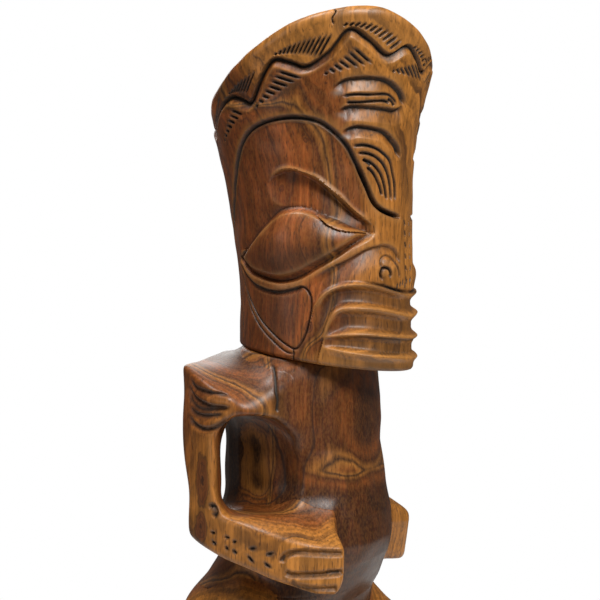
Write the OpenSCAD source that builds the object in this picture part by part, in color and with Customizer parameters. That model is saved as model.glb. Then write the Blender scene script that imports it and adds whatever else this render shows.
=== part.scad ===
// Tiki figure: a squat carved wooden figure that holds its belly.
// It faces -Y, its right hand is on the -X side, and it stands on z = 0.
// The figure is cut from one log. It is divided along its carved breaks.
// All sizes are in millimetres and all angles are in degrees.

/* [Plinth] */
// Radius of the round plinth
plinth_radius = 62; // [50:1:75]
// Height of the plinth
plinth_height = 28; // [15:1:45]
// Radius of the plinth's worn edges
plinth_edge = 4; // [1:1:8]

/* [Log] */
// Radius of the log that the arms were cut from
log_radius = 66; // [60:1:72]
// Distance of the log's centre behind the plinth's centre
log_back = 12; // [6:1:16]

/* [Torso] */
// Half width of the waist
waist = 38; // [30:1:42]
// How far the belly stands in front of the plinth's centre
belly_front = 30; // [24:1:36]
// How far the back stands behind the plinth's centre
back = 42; // [36:1:48]

/* [Head] */
// Level of the middle of the head
head_level = 265; // [255:1:275]
// Radius of the head below its middle
head_radius = 42; // [36:1:46]
// Extra radius at the top of the crown
crown_flare = 13; // [6:1:18]

/* [Carving] */
// How far each eyeball stands out of its panel
eye_bulge = 3.5; // [1:0.5:5]
// Depth of the panel round each eye
panel_depth = 2; // [0.5:0.5:3]
// Depth of the hollows between the lips
lip_depth = 2.4; // [1:0.2:3]
// Distance from one lip to the next
lip_pitch = 10.4; // [9:0.2:12]
// How far the nose stands out
nose_height = 3; // [1:0.5:5]
// Depth of the wavy groove round the crown
wave_depth = 1.8; // [0.5:0.2:3]

/* [Hidden] */
wood = [0.50, 0.29, 0.14];
dark_wood = [0.40, 0.22, 0.11];
// Points round the head and round the body
head_turns = 90;
body_turns = 60;
// Levels where the torso meets the hips and the hips end
waistline = 128;
crotch = 88;

// Level of the wavy groove above the head's middle, by angle from the nose
wave_keys = [[0, 108], [18, 117], [29, 112], [50, 121], [68, 105], [85, 109], [100, 91],
             [113, 95], [128, 88], [150, 91], [180, 86]];
// Level of the crown's rim, by angle from the nose, right side positive
rim_keys = [[-180, 97], [-150, 97], [-115, 103], [-72, 118], [-42, 120], [-20, 121], [0, 127],
            [22, 132], [42, 135], [72, 127], [96, 116], [115, 107], [130, 101], [150, 97], [180, 97]];

// Smooth curve through a list of [place, level] keys
function along(x, keys, i = 0) =
    i >= len(keys) - 2 || x < keys[i + 1][0]
        ? let (a = keys[i]) let (b = keys[i + 1])
          a[1] + (b[1] - a[1]) * ease((x - a[0]) / (b[0] - a[0]))
        : along(x, keys, i + 1);
function ease(x) = let (t = min(max(x, 0), 1)) t * t * (3 - 2 * t);
// Turn to the angle from the nose: without a sign, and positive on the right side
function side(turn) = min(turn, 360 - turn);
function way(turn) = turn > 180 ? 360 - turn : -turn;
function power(v, e) = sign(v) * pow(abs(v), e);

// Level of the flat cut under the chin, at a distance y behind the centre
function jaw_level(y) = head_level - 34 + 0.15 * (y + 45);

// Radius and centre of the plain head at a level above its middle
function head_size(h) = head_radius + crown_flare * pow(max(h, 0) / 104, 2);
function head_shift(h) = min(-2.8 + 0.075 * max(h, 0), 3.2);

// Lips: ridges at an even pitch that fade out past the cheeks
function lips(q, h) =
    let (zone = (1 - ease((q - 58) / 16)) * ease((h + 33) / 3) * (1 - ease((h - 6) / 3)))
    zone * (1.5 - lip_depth * (0.5 - 0.5 * cos(360 * (h - 5.5) / lip_pitch)));
// Eye: an almond bulge in a sunk panel under a brow ridge
function eye(q, h) =
    let (panel = 1 - pow((q - 90) / 58, 2) - pow((h - 31) / 52, 2))
    let (ball = 1 - pow((q - 84) / 50, 2) - pow((h - 26 + (q - 84) * 0.14) / 17, 2))
    let (brow = 1 - pow((q - 64) / 32, 2) - pow((h - 53 + (64 - q) * 0.4) / 5, 2))
    -panel_depth * ease(panel * 5) + eye_bulge * ease(ball * 1.6) + 1.5 * ease(brow * 2);
// Nose: a low ridge between the eyes that widens into two wings
function nose(q, h) =
    let (wide = 8 + 8 * (1 - ease(abs(h - 18) / 9)))
    nose_height * (1 - ease((q - wide) / 6)) * ease((h - 8) / 3) * (1 - ease((h - 40) / 8));

function head_point(turn, h) =
    let (q = side(turn))
    let (r = head_size(h) + lips(q, h) + eye(q, h) + nose(q, h))
    [r * sin(turn), head_shift(h) - r * cos(turn), head_level + h];

// Closed skin over a stack of rings, with a middle point for each end
module skin(rings, low, high) {
    n = len(rings[0]);
    m = len(rings);
    points = concat([for (ring = rings) for (p = ring) p], [low, high]);
    walls = [
        for (i = [0 : m - 2]) for (j = [0 : n - 1])
            let (k = (j + 1) % n)
            for (f = [[i * n + j, i * n + n + j, i * n + n + k], [i * n + j, i * n + n + k, i * n + k]]) f
    ];
    floor_fan = [for (j = [0 : n - 1]) [m * n, j, (j + 1) % n]];
    roof_fan = [for (j = [0 : n - 1]) [m * n + 1, (m - 1) * n + (j + 1) % n, (m - 1) * n + j]];
    polyhedron(points = points, faces = concat(walls, floor_fan, roof_fan));
}

// Ring of the body: half width, front and back distances, and squareness
function body_ring(z, wide, front, rear, square) =
    let (mid = (rear - front) / 2)
    let (deep = (rear + front) / 2)
    [
        for (j = [0 : body_turns - 1])
            let (t = 360 * j / body_turns)
            [wide * power(sin(t), 2 / square), mid - deep * power(cos(t), 2 / square), z]
    ];
// Ring that lies on the cut under the chin, lowered by a drop
function jaw_ring(drop, wide, front, rear) =
    [for (p = body_ring(0, wide, front, rear, 2.4)) [p[0], p[1], jaw_level(p[1]) - drop]];

// Row of rounded lumps, each wrapped to the next
module limb(points, radii) {
    for (i = [0 : len(points) - 2])
        hull() {
            translate(points[i]) sphere(r = radii[i], $fn = 18);
            translate(points[i + 1]) sphere(r = radii[i + 1], $fn = 18);
        }
}
// Block with rounded corners wrapped round a few points
module block(points, r) {
    hull()
        for (p = points)
            translate(p) sphere(r = r, $fn = 12);
}

// Round plinth with worn edges
module plinth() {
    color(dark_wood)
        rotate_extrude($fn = 96)
            polygon([
                [0, 0], [plinth_radius - plinth_edge / 2, 0],
                [plinth_radius, plinth_edge / 2], [plinth_radius, plinth_height - plinth_edge],
                [plinth_radius - plinth_edge * 0.3, plinth_height - plinth_edge * 0.3],
                [plinth_radius - plinth_edge, plinth_height], [0, plinth_height]
            ]);
}

module hips_shape() {
    rings = [
        body_ring(crotch, 30, 12, 42, 2.2),
        body_ring(crotch + 4, 40, 20, 50, 2.3),
        body_ring(crotch + 14, 50, 26, 55, 2.4),
        body_ring(crotch + 26, 51, 27, 56, 2.4),
        body_ring(crotch + 35, 47, 23, 49, 2.4),
        body_ring(waistline, 43, 22, 43, 2.3)
    ];
    skin(rings, [0, 14, crotch], [0, 8, waistline]);
}

module hips() {
    color(wood) hips_shape();
}

// Squatting leg with its foot and toes
module leg_shape() {
    limb([[-32, 28, 105], [-36, 2, 97], [-40, -19, 87]], [27, 24, 19]);
    limb([[-40, -19, 87], [-40, -6, 68], [-38, 8, 52], [-37, 10, 40]], [19, 20, 18, 14]);
    limb([[-37, 10, 38], [-36, -18, 37], [-36, -34, 34]], [14, 13, 9]);
    for (i = [0 : 3])
        hull() {
            translate([-46 + 7 * i, -32, 33]) sphere(r = 5, $fn = 12);
            translate([-47 + 7.5 * i, -45 - i, 32]) sphere(r = 4, $fn = 12);
        }
}
module right_leg() {
    color(wood)
        difference() {
            leg_shape();
            hips_shape();
            torso_shape();
            translate([0, 0, plinth_height - 20]) cylinder(r = 90, h = 20, $fn = 24);
            translate([50, 0, 60]) cube([100, 200, 200], center = true);
        }
}
module left_leg() {
    mirror([1, 0, 0]) right_leg();
}

module torso_shape() {
    rings = [
        body_ring(waistline, 43, 22, 43, 2.3),
        body_ring(134, 45, belly_front - 5, 44, 2.3),
        body_ring(142, 46, belly_front - 2, 44, 2.3),
        body_ring(154, 45, belly_front + 1, 44, 2.3),
        body_ring(167, waist + 4, belly_front + 1, back + 1, 2.3),
        body_ring(180, waist + 1, belly_front - 2, back, 2.3),
        body_ring(195, waist, belly_front - 4, back, 2.3),
        body_ring(208, waist + 3, belly_front - 5, back, 2.4),
        jaw_ring(15, waist + 5, 23, back),
        jaw_ring(8, waist + 4, 22, back),
        jaw_ring(3, waist + 3, 21, back),
        jaw_ring(0, waist + 2, 20, back - 1)
    ];
    skin(rings, [0, 9, waistline], [0, 9, jaw_level(9)]);
}

module torso() {
    color(wood) torso_shape();
}

// Arm: shoulder, upper arm, elbow, forearm and hand on the belly
module arm_shape() {
    // Shoulder, from beside the neck to the outer corner
    block([[-32, 36, 238], [-30, 0, 232], [-28, -13, 223], [-54, 42, 231], [-62, 12, 213],
           [-44, -4, 212], [-35, -13, 210], [-60, 32, 196], [-50, 42, 198], [-34, 36, 204],
           [-40, 4, 206]], 4);
    // Hollow of the armpit
    block([[-62, 14, 212], [-58, 40, 226], [-46, 42, 200], [-60, 20, 198], [-56, 40, 180],
           [-61, 26, 182], [-54, 30, 184]], 4);
    // Upper arm
    block([[-62, 22, 204], [-54, 26, 200], [-61, 34, 200], [-48, 41, 202], [-56, 42, 202],
           [-61.5, 28, 166], [-55, 29, 166], [-57, 38, 166], [-50, 40, 166]], 3.5);
    // Elbow
    block([[-61.5, 28, 174], [-57, 38, 172], [-50, 40, 172], [-62, 24, 157],
           [-50, 24, 160], [-57, 35, 160], [-46, 37, 160]], 4);
    // Forearm, in two lengths that follow the log
    block([[-58, 33, 158], [-44, 36, 160], [-62, 18, 151], [-62, 22, 160],
           [-61.5, 2, 144], [-62, 2, 156], [-40, 30, 168], [-40, 2, 163]], 3.5);
    block([[-61.5, 2, 144], [-62, 2, 156], [-40, 2, 163], [-38, 2, 142],
           [-58, -12, 138], [-58, -11, 151], [-38, -12, 158], [-36, -12, 138]], 3.5);
    // Back of the hand
    block([[-58, -12, 138], [-58, -11, 151], [-38, -12, 157], [-36, -12, 137],
           [-49, -25, 136], [-47, -27, 149], [-38, -20, 154], [-38, -14, 136]], 3.5);
    // Fingers, laid flat across the belly
    for (i = [0 : 2])
        hull() {
            translate([-49, -24, 138.5 + 5.2 * i]) sphere(r = 4, $fn = 14);
            translate([-43 + 1.3 * i, -28 - i, 137 + 5.8 * i]) sphere(r = 3.6, $fn = 14);
        }
}
module right_arm() {
    color(wood)
        difference() {
            arm_shape();
            torso_shape();
            hips_shape();
            leg_shape();
            head_shape();
            difference() {
                translate([0, log_back, 100]) cylinder(r = log_radius + 40, h = 200, $fn = 90);
                translate([0, log_back, 90]) cylinder(r = log_radius, h = 220, $fn = 90);
            }
        }
}
module left_arm() {
    mirror([1, 0, 0]) right_arm();
}

// Ring of the head between the chin cut (0), two flat levels (1 and 2) and the wavy groove (3)
function head_ring(part) =
    [
        for (j = [0 : head_turns - 1])
            let (t = 360 * j / head_turns)
            let (edge = head_radius * 0.97)
            let (low = jaw_level(head_shift(0) - edge * cos(t)) - head_level)
            let (keys = [[0, low], [1, 8], [2, 82], [3, along(side(t), wave_keys)]])
            head_point(t, lookup(part, keys))
    ];
// Ring sunk by a depth towards the head's own centre line
function sunk(ring, depth) =
    [for (p = ring) let (d = norm([p[0], p[1]])) [p[0] * (1 - depth / d), p[1] * (1 - depth / d), p[2]]];
// Head ring laid flat on the cut under the chin
function jaw_cut(ring, depth) =
    [for (p = sunk(ring, depth)) [p[0], p[1], jaw_level(p[1])]];

wave_ring = sunk(head_ring(3), wave_depth);
wave_middle = [0, 0, head_level + 96];

module head_shape() {
    lower = [for (i = [1 : 19]) head_ring(i / 19)];
    middle = [for (i = [1 : 19]) head_ring(1 + i / 19)];
    upper = [for (part = [2.35, 2.7, 2.92]) head_ring(part)];
    rings = concat([jaw_cut(head_ring(0), 2)], lower, middle, upper, [wave_ring]);
    skin(rings, [0, 0, jaw_level(0)], wave_middle);
}
module head() {
    color(wood) head_shape();
}

// Ring of the crown between the wavy groove and the rim
function crown_ring(part, shrink) =
    [
        for (j = [0 : head_turns - 1])
            let (t = 360 * j / head_turns)
            let (low = along(side(t), wave_keys) + 2)
            let (high = along(way(t), rim_keys))
            let (h = low + (high - low) * part)
            let (r = (head_size(h) - 0.5) * shrink)
            let (dome = 3 * (1 - pow(shrink, 2)))
            let (lean = 118 - (118 - high) * pow(shrink, 1.3))
            [r * sin(t), head_shift(h) - r * cos(t), head_level + (part < 1 ? h : lean + dome)]
    ];
module crown() {
    sides = [for (s = [0, 0.3, 0.6]) crown_ring(s, 1), crown_ring(0.82, 0.985)];
    top = [for (s = [0.94, 0.88, 0.75, 0.5, 0.25]) crown_ring(1, s)];
    color(dark_wood)
        skin(concat([wave_ring], sides, top), wave_middle, [0, 0, head_level + 121]);
}

plinth();
right_leg();
left_leg();
hips();
torso();
right_arm();
left_arm();
head();
crown();
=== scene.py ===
"""Carved tiki figure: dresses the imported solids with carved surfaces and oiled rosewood.

All design sizes are in millimetres and degrees. An angle on the head is counted from the nose,
and an angle on the log from its side. Levels are counted from the middle of the head.
"""

import logging
import math
from collections.abc import Callable
from dataclasses import dataclass, field
from enum import Enum

import bpy
import numpy as np
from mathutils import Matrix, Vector


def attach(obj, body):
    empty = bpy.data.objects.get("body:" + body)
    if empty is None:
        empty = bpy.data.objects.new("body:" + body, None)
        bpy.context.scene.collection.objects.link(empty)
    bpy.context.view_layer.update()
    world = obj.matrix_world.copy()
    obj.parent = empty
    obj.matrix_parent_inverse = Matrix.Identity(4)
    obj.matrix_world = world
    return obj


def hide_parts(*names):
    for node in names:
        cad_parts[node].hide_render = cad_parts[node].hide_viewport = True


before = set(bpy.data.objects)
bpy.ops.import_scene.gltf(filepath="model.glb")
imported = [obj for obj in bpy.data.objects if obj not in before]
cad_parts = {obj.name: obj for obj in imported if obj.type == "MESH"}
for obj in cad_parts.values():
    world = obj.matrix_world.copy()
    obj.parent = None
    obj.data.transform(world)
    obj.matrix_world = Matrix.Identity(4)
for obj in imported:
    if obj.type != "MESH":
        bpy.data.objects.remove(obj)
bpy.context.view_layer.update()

MM = 0.001
HEAD_LEVEL = 265.0
CORE_LEVEL = 96.0
LOG_RADIUS = 66.0
LOG_BACK = 12.0
MOST_TRIANGLES = 190_000
Array = np.ndarray
Point = tuple[float, float]
log = logging.getLogger("tiki")


# ---------------------------------------------------------------------------
# Small helpers for numbers
# ---------------------------------------------------------------------------
def ease(x: Array | float) -> Array:
    """Returns x clipped to 0..1 and eased at both ends."""
    t = np.clip(x, 0.0, 1.0)
    return t * t * (3.0 - 2.0 * t)


def strongest(*masks: Array) -> Array:
    """Returns the highest of several masks at each point."""
    return np.maximum.reduce(masks)


def smooth_low(a: Array, b: Array, blend: float) -> Array:
    """Returns the lower of two fields, with a fillet of the given size where they meet."""
    h = np.clip(0.5 + 0.5 * (b - a) / blend, 0.0, 1.0)
    return b + (a - b) * h - blend * h * (1.0 - h)


def smooth_high(a: Array, b: Array, blend: float) -> Array:
    """Returns the higher of two fields, with a rounded edge of the given size."""
    return -smooth_low(-a, -b, blend)


@dataclass
class Unevenness:
    """Slow waves that a hand with a gouge and a file leaves on a surface.

    Attributes:
        height: Height of the waves in millimetres.
        length: Typical distance from one wave to the next in millimetres.
        seed: Start of the random draws.
    """

    height: float
    length: float
    seed: int

    def at(self, x: Array, y: Array, z: Array) -> Array:
        """Reads the waves.

        Args:
            x: Distances from the middle in millimetres.
            y: Distances behind the plinth's centre.
            z: Levels above the ground.

        Returns:
            The height of the waves in millimetres.
        """
        draw = np.random.default_rng(self.seed)
        total = np.zeros_like(x, dtype=float)
        count = 9
        for _ in range(count):
            way = draw.normal(size=3) * np.array([1.0, 1.0, 0.55])
            way *= 2.0 * math.pi / (self.length * draw.uniform(0.7, 1.8) * np.linalg.norm(way))
            total += np.sin(x * way[0] + y * way[1] + z * way[2] + draw.uniform(0, 2 * math.pi))
        return self.height * total / math.sqrt(count)


# ---------------------------------------------------------------------------
# Lines that the carver drew, and the cuts along them
# ---------------------------------------------------------------------------
class Wall(Enum):
    """Where a cut has its steep wall, seen along its line from the first point to the last."""

    BOTH = "both"
    BEHIND = "behind"
    AHEAD = "ahead"


@dataclass(frozen=True)
class Line:
    """A drawn line on a turned surface, as angle and level points with a smooth curve through them."""

    points: tuple[Point, ...]
    straight: bool = False

    def trace(self, radius: Callable[[Array], Array]) -> Array:
        """Lays the line out flat.

        Args:
            radius: Gives the surface's radius at a level.

        Returns:
            Rows of distance round the surface and level, in millimetres.
        """
        p = np.array(self.points, dtype=float)
        if self.straight or len(p) < 3:
            fine = p
        else:
            ends = np.vstack([2 * p[0] - p[1], p, 2 * p[-1] - p[-2]])
            t = np.linspace(0, 1, 7)[:-1, None]
            spans = []
            for a, b, c, d in zip(ends, ends[1:], ends[2:], ends[3:]):
                spans.append(0.5 * (2 * b + (c - a) * t + (2 * a - 5 * b + 4 * c - d) * t**2
                                    + (3 * b - 3 * c + d - a) * t**3))
            fine = np.vstack([*spans, p[-1:]])
        return np.column_stack([np.radians(fine[:, 0]) * radius(fine[:, 1]), fine[:, 1]])


@dataclass
class Near:
    """The points of a surface that lie near a line.

    Attributes:
        index: Which points these are.
        away: Distance of each from the line.
        along: Place along the line, 0 to 1.
        below: Whether a point is on the left of the line, looking from its start to its end.
    """

    index: Array
    away: Array
    along: Array
    below: Array


@dataclass
class Relief:
    """Carving on a turned surface: how deep the wood is cut away, and how dark the cut is made, partly stain
    and partly painted shade.

    Attributes:
        angle: Angle of each point, without a sign because both sides are carved alike.
        level: Level of each point.
        radius: Gives the surface's radius at a level.
    """

    angle: Array
    level: Array
    radius: Callable[[Array], Array]
    depth: Array = field(init=False)
    stain_and_shade: Array = field(init=False)
    across: Array = field(init=False)

    def __post_init__(self) -> None:
        """Starts with an uncut surface."""
        self.across = np.radians(self.angle) * self.radius(self.level)
        self.depth = np.zeros_like(self.across)
        self.stain_and_shade = np.zeros_like(self.across)

    def near(self, line: Line, reach: float) -> Near:
        """Finds the points within reach of a line.

        Args:
            line: The drawn line.
            reach: Largest distance that matters.

        Returns:
            The points, with their distance, place and side.
        """
        path = line.trace(self.radius)
        low, high = path.min(axis=0) - reach, path.max(axis=0) + reach
        index = np.nonzero((self.across > low[0]) & (self.across < high[0])
                           & (self.level > low[1]) & (self.level < high[1]))[0]
        s, h = self.across[index], self.level[index]
        best = np.full(len(index), 1e9)
        along, side = np.zeros(len(index)), np.zeros(len(index))
        steps = np.diff(path, axis=0)
        lengths = np.hypot(steps[:, 0], steps[:, 1])
        starts = np.concatenate([[0.0], np.cumsum(lengths)])
        for p, step, length, start in zip(path, steps, lengths, starts):
            if length < 1e-6:
                continue
            t = ((s - p[0]) * step[0] + (h - p[1]) * step[1]) / length**2
            c = np.clip(t, 0, 1)
            gap = np.hypot(s - p[0] - step[0] * c, h - p[1] - step[1] * c)
            closer = gap < best - 1e-9
            best = np.where(closer, gap, best)
            along = np.where(closer, start + c * length, along)
            turn = step[0] * (h - p[1]) - step[1] * (s - p[0])
            side = np.where(closer, turn, side)
        return Near(index, best, along / max(starts[-1], 1e-6), side > 0)

    def cut(self, line: Line, half: float, depth: float, stain_and_shade: float = 0.8, wall: Wall = Wall.BOTH,
            slope: float = 3.0, ends: float = 0.08, bend: float = 1.3) -> None:
        """Cuts a groove along a line.

        Args:
            line: The drawn line.
            half: Half the width of the groove, at its steep walls.
            depth: Depth at the middle.
            stain_and_shade: How dark the bottom is made, partly stain and partly painted shade.
            wall: Which wall is steep. The other one is a long slope.
            slope: Width of the long slope.
            ends: Part of the line over which each end runs out.
            bend: Above 1 for a V with hollow walls, below 1 for a round bottom.
        """
        n = self.near(line, max(half, slope if wall is not Wall.BOTH else half) + 0.5)
        width = np.full(len(n.index), half)
        if wall is Wall.BEHIND:
            width = np.where(n.below, slope, half)
        if wall is Wall.AHEAD:
            width = np.where(n.below, half, slope)
        run_out = ease(np.minimum(n.along, 1 - n.along) / ends) if ends > 0 else 1.0
        shape = np.clip(1 - n.away / width, 0, 1) ** bend * run_out
        already = np.clip(self.depth[n.index] / max(depth, 0.1), 0, 1)
        self.depth[n.index] += depth * shape * (1 - 0.5 * already)
        # The bottom of the cut is darkened, partly stain and partly painted shade.
        core = np.clip(1.25 - n.away / (half * 1.15), 0, 1) * run_out
        self.stain_and_shade[n.index] = np.maximum(self.stain_and_shade[n.index], stain_and_shade * np.clip(core, 0, 1))


@dataclass(frozen=True)
class Ladder:
    """A row of short gouge strokes that change evenly from the first to the last.

    Attributes:
        first: Foot and tip of the first stroke.
        last: Foot and tip of the last stroke.
        count: Number of strokes.
        bulge: How far the middle feet rise above a straight row.
    """

    first: tuple[Point, Point]
    last: tuple[Point, Point]
    count: int
    bulge: float = 0.0

    def strokes(self) -> list[Line]:
        """Returns each stroke as a straight line."""
        lines = []
        for i in range(self.count):
            t = i / (self.count - 1)
            rise = self.bulge * 4 * t * (1 - t)
            foot, tip = (tuple((1 - t) * a + t * b for a, b in zip(self.first[k], self.last[k]))
                         for k in (0, 1))
            lines.append(Line(((foot[0], foot[1] + rise), (tip[0], tip[1] + rise)), straight=True))
        return lines


# ---------------------------------------------------------------------------
# Meshes
# ---------------------------------------------------------------------------
def deselect() -> None:
    """Leaves nothing selected, so that the next operator acts on its own piece only."""
    if bpy.context.mode != "OBJECT":
        bpy.ops.object.mode_set(mode="OBJECT")
    bpy.ops.object.select_all(action="DESELECT")


def take(piece: bpy.types.Object) -> None:
    """Selects one piece alone and makes it the active one."""
    deselect()
    piece.select_set(True)
    bpy.context.view_layer.objects.active = piece


def places(piece: bpy.types.Object) -> Array:
    """Returns a piece's vertices in millimetres."""
    flat = np.empty(len(piece.data.vertices) * 3)
    piece.data.vertices.foreach_get("co", flat)
    return flat.reshape(-1, 3) / MM


def place(piece: bpy.types.Object, points: Array) -> None:
    """Moves a piece's vertices to points in millimetres."""
    piece.data.vertices.foreach_set("co", (points * MM).ravel())
    piece.data.update()


def mark(piece: bpy.types.Object, name: str, values: Array) -> None:
    """Stores one number for each vertex, which a material can read by name."""
    layer = piece.data.attributes.new(name, "FLOAT", "POINT")
    layer.data.foreach_set("value", np.clip(values, 0, 1).astype(np.float32))


def apply_all(piece: bpy.types.Object) -> None:
    """Applies a piece's modifiers in order."""
    take(piece)
    for modifier in list(piece.modifiers):
        bpy.ops.object.modifier_apply(modifier=modifier.name)


def thin(piece: bpy.types.Object, most: int = MOST_TRIANGLES) -> None:
    """Thins a mesh where it is smooth, until it has at most the given number of triangles."""
    piece.data.calc_loop_triangles()
    count = len(piece.data.loop_triangles)
    if count > most:
        modifier = piece.modifiers.new("thin", "DECIMATE")
        modifier.ratio = most / count
        apply_all(piece)


def round_off(piece: bpy.types.Object, angle: float) -> None:
    """Shades a piece smooth, with a crease wherever faces meet at more than an angle."""
    take(piece)
    bpy.ops.object.shade_smooth_by_angle(angle=math.radians(angle))


def sheet(name: str, columns: int, rows: int) -> bpy.types.Object:
    """Adds a flat grid with the given number of columns and rows of vertices."""
    deselect()
    bpy.ops.mesh.primitive_grid_add(x_subdivisions=columns - 1, y_subdivisions=rows - 1, size=2)
    piece = bpy.context.object
    piece.name = piece.data.name = name
    return piece


def close_tube(piece: bpy.types.Object) -> None:
    """Joins the two sides of a rolled sheet, and makes its faces point outwards."""
    take(piece)
    bpy.ops.object.mode_set(mode="EDIT")
    bpy.ops.mesh.select_all(action="SELECT")
    bpy.ops.mesh.remove_doubles(threshold=0.000002)
    bpy.ops.mesh.normals_make_consistent(inside=False)
    bpy.ops.object.mode_set(mode="OBJECT")


def skin_of(name: str, value: Array, low: Array, step: float) -> bpy.types.Object:
    """Wraps a closed mesh round the part of a block of space where a field is below zero.

    One vertex goes into each cell that the surface crosses, and one face round each crossed edge.

    Args:
        name: Name of the new piece.
        value: The field at the corners of the cells.
        low: The block's lowest corner in millimetres.
        step: Size of a cell in millimetres.

    Returns:
        The new piece.
    """
    inside = value < 0
    cells = np.array(value.shape) - 1
    total = np.zeros((*cells, 3), dtype=np.float32)
    count = np.zeros(tuple(cells), dtype=np.int16)
    crossings = []
    for axis in range(3):
        u, v = [a for a in range(3) if a != axis]
        first = [slice(None)] * 3
        second = [slice(None)] * 3
        first[axis], second[axis] = slice(0, -1), slice(1, None)
        a, b = value[tuple(first)], value[tuple(second)]
        where = np.nonzero(inside[tuple(first)] != inside[tuple(second)])
        at = np.column_stack(where).astype(np.int32)
        share = a[where] / (a[where] - b[where])
        spot = at.astype(np.float32)
        spot[:, axis] += share
        inner = np.all((at[:, [u, v]] > 0) & (at[:, [u, v]] < cells[[u, v]]), axis=1)
        at, spot = at[inner], spot[inner]
        for du in (0, 1):
            for dv in (0, 1):
                cell = at.copy()
                cell[:, u] -= du
                cell[:, v] -= dv
                key = tuple(cell.T)
                np.add.at(total, key, spot)
                np.add.at(count, key, 1)
        crossings.append((axis, u, v, at, inside[tuple(first)][tuple(at.T)]))
    used = count > 0
    number = np.full(tuple(cells), -1, dtype=np.int64)
    number[used] = np.arange(int(used.sum()))
    points = total[used] / count[used][:, None] * step + low
    faces = []
    for axis, u, v, at, starts_inside in crossings:
        ring = []
        for du, dv in ((1, 1), (0, 1), (0, 0), (1, 0)):
            cell = at.copy()
            cell[:, u] -= du
            cell[:, v] -= dv
            ring.append(number[tuple(cell.T)])
        quad = np.column_stack(ring)
        forward = starts_inside if axis != 1 else ~starts_inside
        faces.append(np.where(forward[:, None], quad, quad[:, ::-1]))
    quads = np.vstack(faces)
    mesh = bpy.data.meshes.new(name)
    mesh.vertices.add(len(points))
    mesh.vertices.foreach_set("co", (points * MM).ravel())
    mesh.loops.add(quads.size)
    mesh.loops.foreach_set("vertex_index", quads.ravel().astype(np.int32))
    mesh.polygons.add(len(quads))
    mesh.polygons.foreach_set("loop_start", np.arange(0, quads.size, 4, dtype=np.int32))
    mesh.update(calc_edges=True)
    mesh.validate()
    piece = bpy.data.objects.new(name, mesh)
    bpy.context.scene.collection.objects.link(piece)
    return piece


# ---------------------------------------------------------------------------
# Wood and its finish
# ---------------------------------------------------------------------------
Colour = tuple[float, float, float]
Feed = bpy.types.NodeSocket | float | tuple

# Dark colour for cut bottoms and creases: partly stain, partly painted shade.
CUT_STAIN_AND_SHADE: Colour = (0.012, 0.0075, 0.0045)
# Lighter colour for rubbed edges, also used as painted highlight on the crown's upper front.
RUBBED_AND_HIGHLIGHT: Colour = (0.34, 0.155, 0.042)
WAX_DUST: Colour = (0.13, 0.115, 0.105)
KNOT_WOOD: Colour = (0.10, 0.026, 0.008)
KNOT_DARK: Colour = (0.018, 0.007, 0.004)
BAND_DARK: Colour = (0.020, 0.009, 0.006)
PORE_DARK: Colour = (0.030, 0.010, 0.004)
PALE_FLECK: Colour = (0.30, 0.13, 0.032)
MARKS = ("stain_and_shade", "worn", "dust", "heart", "sap")
PITH_X = 0.006
PITH_Y = 0.024
PITH_LEAN = 0.06
PITH_WANDER = 0.024
RING_WOBBLE = 0.006
HEART_REACH = 0.025
SAP_REACH = 0.018


@dataclass(frozen=True)
class Socket:
    """A named input or output of a node group."""

    name: str
    kind: str = "NodeSocketFloat"
    value: float | Colour | None = None


class Nodes:
    """Adds and joins nodes in one tree, so that a finish reads as a recipe."""

    def __init__(self, tree: bpy.types.NodeTree) -> None:
        """Keeps the tree that is being filled."""
        self.tree = tree

    def add(self, kind: str, settings: dict | None = None, **inputs: Feed) -> bpy.types.Node:
        """Adds a node.

        Args:
            kind: Blender's name for the node.
            settings: Properties of the node itself.
            **inputs: Values or sockets for its inputs. An underscore stands for a space.

        Returns:
            The new node.
        """
        node = self.tree.nodes.new(kind)
        for key, value in (settings or {}).items():
            setattr(node, key, value)
        for key, value in inputs.items():
            self.feed(node.inputs[key.replace("_", " ")], value)
        return node

    def feed(self, socket: bpy.types.NodeSocket, value: Feed) -> None:
        """Joins a socket to another one, or sets it to a value."""
        if isinstance(value, bpy.types.NodeSocket):
            self.tree.links.new(value, socket)
        else:
            socket.default_value = value

    def maths(self, operation: str, *values: Feed) -> bpy.types.NodeSocket:
        """Adds a sum on one to three numbers and returns its result."""
        node = self.tree.nodes.new("ShaderNodeMath")
        node.operation = operation
        for i, value in enumerate(values):
            self.feed(node.inputs[i], value)
        return node.outputs[0]

    def vector(self, operation: str, *values: Feed) -> bpy.types.NodeSocket:
        """Adds a sum on vectors and returns its vector result."""
        node = self.tree.nodes.new("ShaderNodeVectorMath")
        node.operation = operation
        for i, value in enumerate(values):
            socket = node.inputs["Scale"] if operation == "SCALE" and i == 1 else node.inputs[i]
            self.feed(socket, value)
        return node.outputs[0]

    def span(self, value: Feed, low: float, high: float, to_low: float = 0.0, to_high: float = 1.0,
             smooth: bool = True) -> bpy.types.NodeSocket:
        """Maps a number from one range to another, held at both ends."""
        node = self.tree.nodes.new("ShaderNodeMapRange")
        node.interpolation_type = "SMOOTHSTEP" if smooth else "LINEAR"
        for i, v in enumerate((value, low, high, to_low, to_high)):
            self.feed(node.inputs[i], v)
        return node.outputs[0]

    def noise(self, vector: Feed, scale: float, detail: float = 3.0, rough: float = 0.5,
              twist: float = 0.0) -> bpy.types.Node:
        """Adds cloudy noise on a vector."""
        return self.add("ShaderNodeTexNoise", Vector=vector, Scale=scale, Detail=detail, Roughness=rough,
                        Distortion=twist)

    def blend(self, share: Feed, a: Feed, b: Feed, mode: str = "MIX") -> bpy.types.NodeSocket:
        """Mixes two colours and returns the result."""
        node = self.tree.nodes.new("ShaderNodeMix")
        node.data_type = "RGBA"
        node.blend_type = mode
        for i, v in ((0, share), (6, a), (7, b)):
            self.feed(node.inputs[i], (*v, 1.0) if isinstance(v, tuple) and len(v) == 3 else v)
        return node.outputs[2]


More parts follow.
